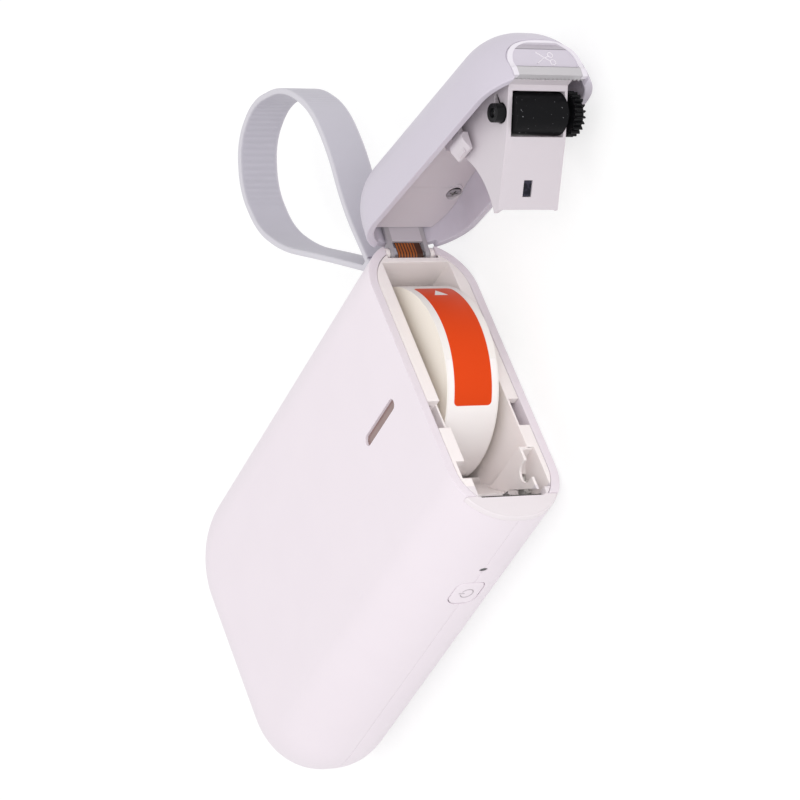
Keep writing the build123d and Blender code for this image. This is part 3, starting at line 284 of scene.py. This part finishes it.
# Roll bay: one white moulding that drops in from above, with the pocket for the roll, the guide
# ramp and the bearing notches. It is warmer than the case, and its flat cap at the exit is greyer.
bay_colour, cap_colour = (0.93, 0.865, 0.855), (0.80, 0.74, 0.765)
cap_reach, cap_depth = 8.2 * mm, 4.5 * mm
bay_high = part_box("roll_bay")[1]
bay_white = moulded("bay_white", bay_colour, roughness=0.38)
near_top = bay_white.along(1).above(bay_high.y - cap_depth, 0.1 * mm)
near_exit = bay_white.along(0).above(bay_high.x - cap_reach, 0.3 * mm)
bay_white.feed(Base_Color=bay_white.blend(near_top * near_exit, bay_colour, cap_colour))
softened("roll_bay", "body", 0.16 * mm, bay_white, "bay_white")

# Boards: green solder mask over glass fibre, with copper tracks that show through it as pale lines.
# The main board is screwed to the back, and the two small ones carry the socket and the switch.
board_colour, track_colour = (0.02, 0.12, 0.05), (0.07, 0.26, 0.12)
track_pitch, track_sway = 1.1 * mm, 0.3 * mm
board_green = Finish("board_green", board_colour, 0.3)
swayed = board_green.along(0) + track_sway * board_green.noise(9 * mm, 1)
tracks = swayed.wave(track_pitch).above(0.86, 0.06)
pads = board_green.noise(2.2 * mm, 0).above(0.68, 0.03)
raised = tracks.larger(pads)
board_green.feed(Base_Color=board_green.blend(raised, board_colour, track_colour),
                 Normal=board_green.relief(raised, 0.03 * mm))
for board in ("main_board", "usb_board", "side_board"):
    dress(board, board_green)

# Battery: a pouch cell in pale foil, slightly wrinkled where it was pressed shut. It is taped to the
# inside of the front, below the roll.
battery_foil = Finish("battery_foil", (0.55, 0.56, 0.58), 0.34, Metallic=0.7)
battery_foil.feed(Normal=battery_foil.relief(battery_foil.noise(7 * mm, 4), 0.12 * mm),
                  Roughness=0.28 + 0.15 * battery_foil.noise(3 * mm, 3))
dress("battery", battery_foil)

# Steel and other metals: the shafts, pins and screws are turned, the springs wound, the motor's can
# and the socket drawn, and the head's bracket stamped. Each has fine marks round or along it.


def metal(name, colour, roughness, stretch, scratch=0.006 * mm):
    """Bare metal with fine marks, drawn out along each axis as many times as stretch says."""
    finish = Finish(name, colour, roughness, Metallic=1.0)
    x, y, z = (finish.along(axis) * (1 / pull) for axis, pull in enumerate(stretch))
    marks = finish.noise(0.25 * mm, 3, finish.point(x, y, z))
    darker = [0.82 * part for part in colour]
    finish.feed(Roughness=roughness - 0.06 + 0.14 * marks,
                Base_Color=finish.blend(marks, colour, darker),
                Normal=finish.relief(marks, scratch))
    return finish


steel = metal("steel", (0.60, 0.60, 0.62), 0.28, (1, 1, 12))
for turned in ("gear_axles", "motor_shaft", "platen_shaft", "head_pin", "hinge_pin", "board_screws"):
    dress(turned, steel)
dress("head_springs", metal("spring_steel", (0.50, 0.50, 0.52), 0.35, (1, 12, 1)))
dress("stepper_motor", metal("motor_can", (0.54, 0.54, 0.56), 0.36, (1, 1, 14)))
dress("usb_socket", metal("socket_shell", (0.62, 0.62, 0.64), 0.3, (10, 1, 1)))
dress("motor_pinion", metal("brass", (0.72, 0.52, 0.24), 0.3, (1, 1, 12)))
dress("head_bracket", metal("aluminium", (0.72, 0.72, 0.74), 0.42, (1, 1, 8)))

# Gears of the drive: moulded in natural white acetal, which looks a little waxy. They turn on two
# steel axles in the well beside the bay.
gear_white = moulded("gear_white", (0.80, 0.80, 0.76), roughness=0.34, tint=0.05)
for gear in ("reduction_gear", "idler_gear"):
    dress(gear, gear_white)

# Print head: a glazed ceramic plate, dark and glassy, that the roller presses the label against. It
# is glued to its bracket, which rocks on a pin.
head_ceramic = Finish("head_ceramic", (0.055, 0.045, 0.04), 0.14, Coat_Weight=0.6)
glaze = head_ceramic.noise(1.5 * mm, 2)
head_ceramic.feed(Base_Color=head_ceramic.blend(glaze, (0.07, 0.055, 0.05), (0.03, 0.027, 0.025)))
dress("print_head", head_ceramic)

# Black mouldings: the bushes, the roller's gear and the switch, in glass-filled black plastic with a
# fine grain. The bushes drop into the notches of the bay when the lid shuts.
black_plastic = moulded("black_plastic", (0.006, 0.006, 0.007), roughness=0.36, depth=0.008 * mm)
black_plastic.feed(Specular_IOR_Level=0.15)
for moulding in ("front_bush", "rear_bush", "roller_gear", "tact_switch"):
    dress(moulding, black_plastic)

# Power button: a rounded cap of the case's plastic in a hole in the exit side. A shallow open ring
# with a short bar in its opening is pressed into its face, and is painted darker as painted shade
# in the groove.
button_low, button_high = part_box("power_button")
button_middle = (button_low + button_high) / 2
ring_radius, sign_line = 1.45 * mm, 0.26 * mm
opening_middle, opening_half = math.radians(88), 0.34
bar_foot, bar_tip, bar_blur = 0.6 * mm, 2.0 * mm, 0.1 * mm
face_depth = 0.6 * mm
groove_shade = (0.47, 0.42, 0.45)
button_white = moulded("button_white", case_colour)
across = button_white.along(2) - button_middle.z
along = button_white.along(1) - button_middle.y
ring = abs(along.span(across) - ring_radius).below(sign_line / 2, 0.12 * mm)
off_opening = abs(along.turn(across) - opening_middle).above(opening_half, 0.1)
bar = abs(along).below(sign_line / 2, bar_blur)
bar_length = across.above(bar_foot, bar_blur) * across.below(bar_tip, bar_blur)
button_face = button_white.along(0).above(button_high.x - face_depth, 0.1 * mm)
pressed = (ring * off_opening).larger(bar * bar_length) * button_face
button_white.feed(Base_Color=button_white.blend(pressed, case_colour, groove_shade),
                  Normal=button_white.relief(1 - pressed, 0.1 * mm))
softened("power_button", "button", 0.3 * mm, button_white, "case_white")

# Status light: a smoked clear pipe that ends as a dark oval beside the button. The lamp that shines
# into it sits on the board behind.
light_dark = Finish("light_dark", (0.012, 0.012, 0.016), 0.12, Coat_Weight=0.5)
light_dark.feed(Roughness=0.08 + 0.1 * light_dark.noise(1 * mm, 2))
dress("light_pipe", light_dark)
led_white = moulded("led_white", (0.80, 0.80, 0.74), roughness=0.25)
dress("status_led", led_white)

# Label roll: printed labels on a glassine strip, wound on a card core. The sides show the edges of
# the turns, cream against the white labels. An orange leader label with round corners lies on top.
roll_low, roll_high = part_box("label_paper")
roll_middle = (roll_low + roll_high) / 2
roll_radius = (roll_high.x - roll_low.x) / 2
leader_half, leader_corner = 4.7 * mm, 1.0 * mm
leader_start, leader_end = math.radians(41), math.radians(129)
leader_middle = (leader_start + leader_end) / 2
leader_reach = (leader_end - leader_start) / 2 * roll_radius
arrow_angle, arrow_size, arrow_slope = math.radians(120), 1.9 * mm, 0.62
label_half, label_end = 6.15 * mm, math.radians(68)
print_blur = 0.08 * mm
leader_orange, arrow_white = (0.75, 0.058, 0.002), (0.88, 0.86, 0.84)
strip_colour, label_colour = (0.91, 0.87, 0.84), (0.95, 0.91, 0.90)
label_paper = Finish("label_paper", (0.90, 0.88, 0.86), 0.5, Specular_IOR_Level=0.15)
from_middle = abs(label_paper.along(2) - roll_middle.z)
roll_x = label_paper.along(0) - roll_middle.x
roll_y = label_paper.along(1) - roll_middle.y
roll_reach, roll_angle = roll_x.span(roll_y), roll_x.turn(roll_y)
outer_turn = roll_reach.above(roll_radius - 0.06 * mm, 0.05 * mm)
turns = label_paper.noise(0.16 * mm, 2, label_paper.point(roll_reach, 0.0, 0.02 * roll_angle))
past_end = abs((roll_angle - leader_middle) * roll_radius) - (leader_reach - leader_corner)
past_side = from_middle - (leader_half - leader_corner)
leader = past_end.larger(0.0).span(past_side.larger(0.0)).below(leader_corner, print_blur)
up_arrow = (roll_angle - arrow_angle) * roll_radius
arrow_foot = up_arrow.above(-0.55 * arrow_size, 0.06 * mm)
arrow_sides = (from_middle + arrow_slope * up_arrow).below(0.55 * arrow_size, print_blur)
label = from_middle.below(label_half, print_blur) * roll_angle.below(label_end, 0.004)
paper = label_paper.blend(label, strip_colour, label_colour)
printed = label_paper.blend(arrow_foot * arrow_sides, leader_orange, arrow_white)
side = label_paper.blend(turns, (0.93, 0.87, 0.79), (0.84, 0.77, 0.68))
surface = label_paper.blend(leader, paper, printed)
roll_height = turns * (1 - outer_turn) + 0.6 * outer_turn * leader.larger(label)
label_paper.feed(Base_Color=label_paper.blend(outer_turn, side, surface),
                 Roughness=0.5 - 0.14 * outer_turn,
                 Normal=label_paper.relief(roll_height, 0.07 * mm))
softened("label_paper", "label_roll", 0.12 * mm, label_paper, "label_paper")
core_card = Finish("core_card", (0.62, 0.52, 0.40), 0.7)
flecks = core_card.noise(0.6 * mm, 4)
core_card.feed(Base_Color=core_card.blend(flecks, (0.68, 0.58, 0.45), (0.52, 0.43, 0.32)),
               Normal=core_card.relief(core_card.noise(0.3 * mm, 3), 0.02 * mm))
dress("label_core", core_card)

# Wrist strap: a soft grey band moulded in one loop, with rounded edges and, on the far side of the
# loop, fine ribs across it for grip. Its root is plugged into the case beside the hinge. The rounded
# edges are painted lighter as a painted highlight, and the ribs carry faint stripes of painted shade.
strap_colour, edge_highlight, rib_stripe_shade = (0.53, 0.51, 0.57), (0.63, 0.61, 0.66), (0.36, 0.35, 0.40)
strap_low, strap_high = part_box("wrist_strap")
strap_middle = (strap_low + strap_high) / 2
loop_x, loop_y = strap_low.x + 19 * mm, strap_middle.y + 3 * mm
rib_pitch, rib_start = math.radians(4.2), math.radians(100)
rib_half, edge_start = 4.2 * mm, 4.6 * mm
strap_grey = moulded("strap_grey", strap_colour, roughness=0.5, depth=0.006 * mm)
loop_turn = (strap_grey.along(0) - loop_x).turn(strap_grey.along(1) - loop_y)
band = abs(strap_grey.along(2) - strap_middle.z)
ribbed = abs(loop_turn).above(rib_start, 0.3) * band.below(rib_half, 0.5 * mm)
ribs = loop_turn.wave(rib_pitch) * ribbed
flat = strap_grey.blend(0.2 * ribs, strap_colour, rib_stripe_shade)
strap_grey.feed(Base_Color=strap_grey.blend(band.above(edge_start, 0.5 * mm), flat, edge_highlight),
                Normal=strap_grey.relief(ribs, 0.05 * mm))
softened("wrist_strap", "body", 0.42 * mm, strap_grey, "strap_grey", steps=3)

# Lid hinge: a grey bracket whose two arms turn on stub pins. Between them an amber film with copper
# tracks comes up through the slot, to the sensor in the lid.
half_depth = (cad_low.z + cad_high.z) / 2
arm_start = 3.8 * mm
tongue_grey, arm_grey = (0.55, 0.51, 0.55), (0.40, 0.375, 0.40)
hinge_grey = moulded("hinge_grey", (0.44, 0.415, 0.45), roughness=0.4)
arms = abs(hinge_grey.along(2) - half_depth).above(arm_start, 0.05 * mm)
hinge_grey.feed(Base_Color=hinge_grey.blend(arms, tongue_grey, arm_grey))
softened("hinge_bracket", "lid", 0.14 * mm, hinge_grey, "hinge_grey")
ribbon_low, ribbon_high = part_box("hinge_ribbon")
bare_film, copper_colour = (0.06, 0.02, 0.01), (0.38, 0.10, 0.015)
copper_pitch, copper_start = 0.74 * mm, 1.6 * mm
ribbon_amber = Finish("ribbon_amber", (0.30, 0.09, 0.02), 0.3, Specular_IOR_Level=0.3)
ribbon_side = ribbon_amber.along(2) - ribbon_low.z
copper = ribbon_side.wave(copper_pitch).above(0.45, 0.2) * ribbon_side.above(copper_start, 0.1 * mm)
ribbon_amber.feed(Base_Color=ribbon_amber.blend(copper, bare_film, copper_colour),
                  Normal=ribbon_amber.relief(copper, 0.03 * mm))
hinge = next(joint for joint in frame["joints"] if joint["name"] == "lid_hinge")
hinge_place = Vector(hinge["pos_m"])
ribbon_thick = 0.15 * mm
ribbon_climb, bend_drop, bend_shift = 1.2 * mm, 0.6 * mm, 0.1 * mm
bend_angle, bend_steps = math.radians(88), 8
tail_reach, tail_drop = 2.2 * mm, 0.5 * mm
bend_radius = ribbon_high.x - hinge_place.x - bend_shift
ribbon_line = [(ribbon_high.x, ribbon_low.y), (ribbon_high.x, hinge_place.y - ribbon_climb)]
for step in range(bend_steps + 1):
    turned_by = bend_angle * step / bend_steps
    ribbon_line.append((hinge_place.x + bend_shift + bend_radius * math.cos(turned_by),
                        hinge_place.y - bend_drop + bend_radius * math.sin(turned_by)))
ribbon_line.append((hinge_place.x - tail_reach, hinge_place.y + bend_radius - tail_drop))
shaper = bmesh.new()
for (x0, y0), (x1, y1) in zip(ribbon_line, ribbon_line[1:]):
    spots = ((x0, y0, ribbon_low.z), (x1, y1, ribbon_low.z),
             (x1, y1, ribbon_high.z), (x0, y0, ribbon_high.z))
    shaper.faces.new([shaper.verts.new(spot) for spot in spots])
bmesh.ops.remove_doubles(shaper, verts=shaper.verts, dist=0.01 * mm)
bmesh.ops.solidify(shaper, geom=shaper.faces, thickness=ribbon_thick)
bmesh.ops.recalc_face_normals(shaper, faces=shaper.faces)
ribbon_mesh = bpy.data.meshes.new("ribbon_film")
shaper.to_mesh(ribbon_mesh)
shaper.free()
ribbon_mesh.materials.append(ribbon_amber.material)
ribbon_film = bpy.data.objects.new("ribbon_film", ribbon_mesh)
bpy.context.scene.collection.objects.link(ribbon_film)
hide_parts("hinge_ribbon")
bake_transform(ribbon_film)

# Lid: a deep rounded cap of the case's plastic, a shade greyer and more lilac. Its exit end is cut
# back by a notch with a rounded rim, which a flat plate of the same plastic closes.
lid_colour = (0.61, 0.565, 0.645)
lid_lilac = moulded("lid_lilac", lid_colour)
softened("lid_shell", "lid", 0.35 * mm, lid_lilac, "lid_lilac", sharp=60, steps=3)

# Exit plate: the flat piece that closes the notch above the tear bar. A straight step runs across it
# near the top, and a narrow gap that goes into the lid parts it from the bar. The recess above the
# step, a thin line along the step and the gap are darkened with painted shade. Heights here are
# those of the shut lid, and swing takes a place on it to where it stands with the lid open.
swing_angle = -math.radians(hinge["range_deg"][0])
swing = Matrix.Translation(hinge_place) @ Matrix.Rotation(
    swing_angle, 4, "Z") @ Matrix.Translation(-hinge_place)
case_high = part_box("front_shell")[1]
notch_floor = case_high.x - 3.7 * mm
lid_foot = case_high.y + 0.15 * mm
panel_top, panel_foot = lid_foot + 7.9 * mm, lid_foot + 3.65 * mm
panel_blur, step_shadow_share = 0.06 * mm, 0.45
panel_lilac, shaded_recess, gap_shade = (0.60, 0.555, 0.63), (0.47, 0.435, 0.48), (0.07, 0.062, 0.07)
exit_lilac = moulded("exit_lilac", lid_colour)
plate_x, plate_y = (exit_lilac.along(axis) - hinge_place[axis] for axis in (0, 1))
plate_height = (hinge_place.y - math.sin(swing_angle) * plate_x) + math.cos(swing_angle) * plate_y
# Painted shade: darker over the recess above the step, along the step, and in the gap.
upper = plate_height.above(panel_top, panel_blur)
step_shadow_line = abs(plate_height - panel_top).below(panel_blur, panel_blur) * step_shadow_share
gap_and_step_shade = plate_height.below(panel_foot, panel_blur).larger(step_shadow_line)
plate_colour = exit_lilac.blend(upper, panel_lilac, shaded_recess)
exit_lilac.feed(Base_Color=exit_lilac.blend(gap_and_step_shade, plate_colour, gap_shade),
                Normal=exit_lilac.relief(1 - upper.larger(gap_and_step_shade), 0.25 * mm))
softened("exit_frame", "lid", 0.15 * mm, exit_lilac, "lid_lilac")

# Scissors sign: raised lines on the plate above the tear bar, which say that the label is cut here.
# They are moulded with the plate, two blades that cross and end in rings.
sign_middle = Vector((notch_floor, lid_foot + 5.6 * mm, half_depth))
line_radius, line_out = 0.115 * mm, 0.02 * mm


def strokes(name, lines, finish, slot, body):
    """Thin round lines raised on the lid, through points right of and above the sign's middle."""
    curve = bpy.data.curves.new(name, "CURVE")
    curve.dimensions = "3D"
    curve.bevel_depth = line_radius
    curve.bevel_resolution = 2
    for points, closed in lines:
        spline = curve.splines.new("POLY")
        spline.points.add(len(points) - 1)
        spline.use_cyclic_u = closed
        for spot, (right, up) in zip(spline.points, points):
            place = swing @ (sign_middle + Vector((line_out, up, -right)))
            spot.co = (*place, 1)
    drawn = bpy.data.objects.new(name + "_curve", curve)
    mesh = bpy.data.meshes.new_from_object(drawn)
    bpy.data.objects.remove(drawn)
    mesh.name = name
    settle(name, mesh, finish, slot, body)


def circle(right, up, radius, parts=20):
    """Points round a finger ring of the scissors."""
    turns = [2 * math.pi * part / parts for part in range(parts)]
    return [(right + radius * math.cos(turn), up + radius * math.sin(turn)) for turn in turns]


straight_blade = [(-1.65 * mm, 1.5 * mm), (1.45 * mm, -0.7 * mm)]
bent_blade = [(-1.85 * mm, -1.25 * mm), (-0.15 * mm, -0.04 * mm), (1.25 * mm, 0.6 * mm)]
upper_ring, lower_ring = circle(1.8 * mm, 0.87 * mm, 0.6 * mm), circle(2.0 * mm, -0.9 * mm, 0.62 * mm)
sign_lines = [(straight_blade, False), (bent_blade, False), (upper_ring, True), (lower_ring, True)]
sign_white = moulded("sign_white", (0.82, 0.78, 0.83), roughness=0.35)
strokes("scissors_sign", sign_lines, sign_white, "lid_lilac", "lid")

# Exit rim: the narrow raised frame round the notch, flush with the lid's skin. It runs up one side,
# over the top and down the other, and hides the joint between the lid and the plate.
notch_half, notch_top, notch_corner = 9.0 * mm, lid_foot + 9.45 * mm, 5.0 * mm
rim_width, rim_top_share = 1.2 * mm, 0.42
rim_sunk, rim_slope = 0.08 * mm, 0.05 * mm
rim_foot, rim_root, rim_tallest = lid_foot + 1.0 * mm, notch_floor - 0.3 * mm, notch_floor + 0.8 * mm
bar_top, past_bar, past_plate = lid_foot + 3.4 * mm, 0.74 * mm, 0.12 * mm
side_steps, side_pitch, corner_steps, top_steps = 8, 0.5 * mm, 12, 8
lid_height, exit_corner = 17 * mm, 16.5 * mm
edge_round, edge_band = 12.5 * mm, 1.0 * mm
corner_middle = Vector((case_high.x - exit_corner, lid_foot + lid_height - exit_corner))


def lid_skin(up, out):
    """How far out the lid's skin is at a height and a distance from the middle of its thickness."""
    inset = edge_round - math.sqrt(edge_round ** 2 - max(abs(out) - edge_band, 0) ** 2)
    rise = max(up - corner_middle.y, 0)
    return corner_middle.x + math.sqrt((exit_corner - inset) ** 2 - rise ** 2)


# The points of the outer line: how far out and up each is, and how much it faces aside and over.
outline = [(notch_half, rim_foot + step * side_pitch, 1.0, 0.0) for step in range(side_steps)]
for step in range(corner_steps + 1):
    turned_by = math.radians(90 * step / corner_steps)
    aside, over = math.cos(turned_by), math.sin(turned_by)
    outline.append((notch_half - notch_corner * (1 - aside), notch_top - notch_corner * (1 - over),
                    aside, over))
for step in range(1, top_steps + 1):
    outline.append(((notch_half - notch_corner) * (1 - step / top_steps), notch_top, 0.0, 1.0))
outline += [(-out, up, -aside, over) for out, up, aside, over in reversed(outline[:-1])]
shaper = bmesh.new()
sections = []
for out, up, aside, over in outline:
    clear_of = past_bar if up < bar_top else past_plate
    outer = max(lid_skin(up, out) - rim_sunk, notch_floor + clear_of)
    inner = min(outer + rim_slope, rim_tallest)
    width = rim_width * (rim_top_share + (1 - rim_top_share) * abs(aside))
    inner_up, inner_out = up - over * width, out - aside * width
    corners = [(outer, up, out), (inner, inner_up, inner_out),
               (rim_root, inner_up, inner_out), (rim_root, up, out)]
    sections.append([shaper.verts.new(swing @ Vector((x, y, half_depth + z))) for x, y, z in corners])
for first, second in zip(sections, sections[1:]):
    for part in range(4):
        shaper.faces.new((first[part], first[part - 1], second[part - 1], second[part]))
for section in (sections[0], sections[-1]):
    shaper.faces.new(section)
bmesh.ops.recalc_face_normals(shaper, faces=shaper.faces)
for face in shaper.faces:
    face.smooth = True
rim_mesh = bpy.data.meshes.new("exit_rim")
shaper.to_mesh(rim_mesh)
shaper.free()
rim_mesh.set_sharp_from_angle(angle=crease_angle)
rim_lilac = moulded("rim_lilac", (0.78, 0.74, 0.80), roughness=0.3)
settle("exit_rim", rim_mesh, rim_lilac, "lid_lilac", "lid")

# Tear bar: a pale hard strip across the foot of the notch. It is smooth outside, and its teeth are
# on the inner half of its lower edge.
cutter_grey = moulded("cutter_grey", (0.53, 0.51, 0.53), roughness=0.3)
softened("cutter_bar", "lid", 0.12 * mm, cutter_grey, "cutter_grey")

# Liner: the white moulding inside the lid, a curved pan over the roll with the carrier that holds
# the roller and the two latch hooks. Two cross-head screws hold it to bosses in the lid.
liner_white = moulded("liner_white", (0.63, 0.575, 0.615), roughness=0.38)
softened("lid_liner", "lid", 0.15 * mm, liner_white, "liner_white", sharp=75)
screw_steel = metal("screw_steel", (0.58, 0.57, 0.56), 0.3, (1, 1, 1))
dress("lid_screws", screw_steel)

# Gap sensor: a black window in the carrier's face that watches the gaps between labels. It is a
# moulded block, pushed in from behind. Lighter patches on its face are a painted sheen.
sensor_black = Finish("sensor_black", (0.012, 0.012, 0.02), 0.3, Specular_IOR_Level=0.15)
painted_sheen = sensor_black.noise(1.2 * mm, 1).above(0.5, 0.1)
sensor_black.feed(Base_Color=sensor_black.blend(painted_sheen, (0.008, 0.008, 0.014), (0.03, 0.028, 0.045)))
dress("gap_sensor", sensor_black)

# Feed roller: ground silicone rubber on a steel shaft, near black, with specks of label dust. The
# shaft turns in the two bushes of the carrier.
rubber_black, dust_grey = (0.005, 0.005, 0.006), (0.16, 0.16, 0.17)
platen_rubber = Finish("platen_rubber", rubber_black, 0.5, Specular_IOR_Level=0.08)
fuzz = platen_rubber.noise(0.18 * mm, 2)
dust = platen_rubber.noise(0.42 * mm, 1, roughness=0.2).above(0.775, 0.02)
platen_rubber.feed(Base_Color=platen_rubber.blend(dust, rubber_black, dust_grey),
                   Roughness=0.38 + 0.12 * fuzz, Normal=platen_rubber.relief(fuzz, 0.01 * mm))
dress("platen_roller", platen_rubber)

# Floor: a plain white plane just under the printer. It shines by itself for rays that are seen or
# mirrored, so the background is white and the printer's shadow on it stays soft and faint.
floor_size, floor_drop = 6.0, 0.2 * mm
floor_mesh = bpy.data.meshes.new("floor")
shaper = bmesh.new()
bmesh.ops.create_grid(shaper, x_segments=1, y_segments=1, size=floor_size)
shaper.to_mesh(floor_mesh)
shaper.free()
floor = bpy.data.objects.new("floor", floor_mesh)
floor.location.z = -floor_drop
bpy.context.scene.collection.objects.link(floor)


def seen_by(finish):
    """1 for rays from the camera and for those that a mirror or glass sends on, else 0."""
    camera_ray, glossy_ray, transmission_ray = (
        finish.node("ShaderNodeLightPath", out=name)
        for name in ("Is Camera Ray", "Is Glossy Ray", "Is Transmission Ray"))
    return camera_ray.larger(glossy_ray).larger(transmission_ray)


floor_paint = Finish("floor", (0.8, 0.8, 0.8), 0.9, Emission_Strength=1.0, Specular_IOR_Level=0.0)
seen = seen_by(floor_paint)
floor_paint.feed(Base_Color=floor_paint.blend(seen, (0.92, 0.92, 0.92), (0.34, 0.34, 0.34)),
                 Emission_Color=floor_paint.blend(seen, (0.0, 0.0, 0.0), (0.70, 0.70, 0.70)))
floor_mesh.materials.append(floor_paint.material)

# Light: an even white studio all round, and two large soft lamps that shape the forms a little. One
# is near the camera, so that it reaches into the bay, and the other is over the front.
world = bpy.data.worlds.new("world")
world.use_nodes = True
bpy.context.scene.world = world


class Sky(Finish):
    """The world's own shader, with the same short calls as a finish."""

    def __init__(self, tree):
        self.tree = tree
        self.shader = tree.nodes["Background"]


sky = Sky(world.node_tree)
sky_light = 0.86
sky.feed(Color=(1.0, 1.0, 1.0), Strength=sky_light + (1 - sky_light) * seen_by(sky))


def softbox(name, place, size, power):
    """A square lamp that faces the middle of the printer."""
    data = bpy.data.lights.new(name, "AREA")
    data.shape = "SQUARE"
    data.size = size
    data.energy = power
    lamp = bpy.data.objects.new(name, data)
    lamp.location = place
    lamp.rotation_euler = (-Vector(place)).to_track_quat("-Z", "Y").to_euler()
    bpy.context.scene.collection.objects.link(lamp)


softbox("key", place=(0.45, 0.75, 0.5), size=0.6, power=2.6)
softbox("side", place=(0.1, -0.3, 0.9), size=0.5, power=0.8)

bpy.context.scene.view_settings.view_transform = "Standard"
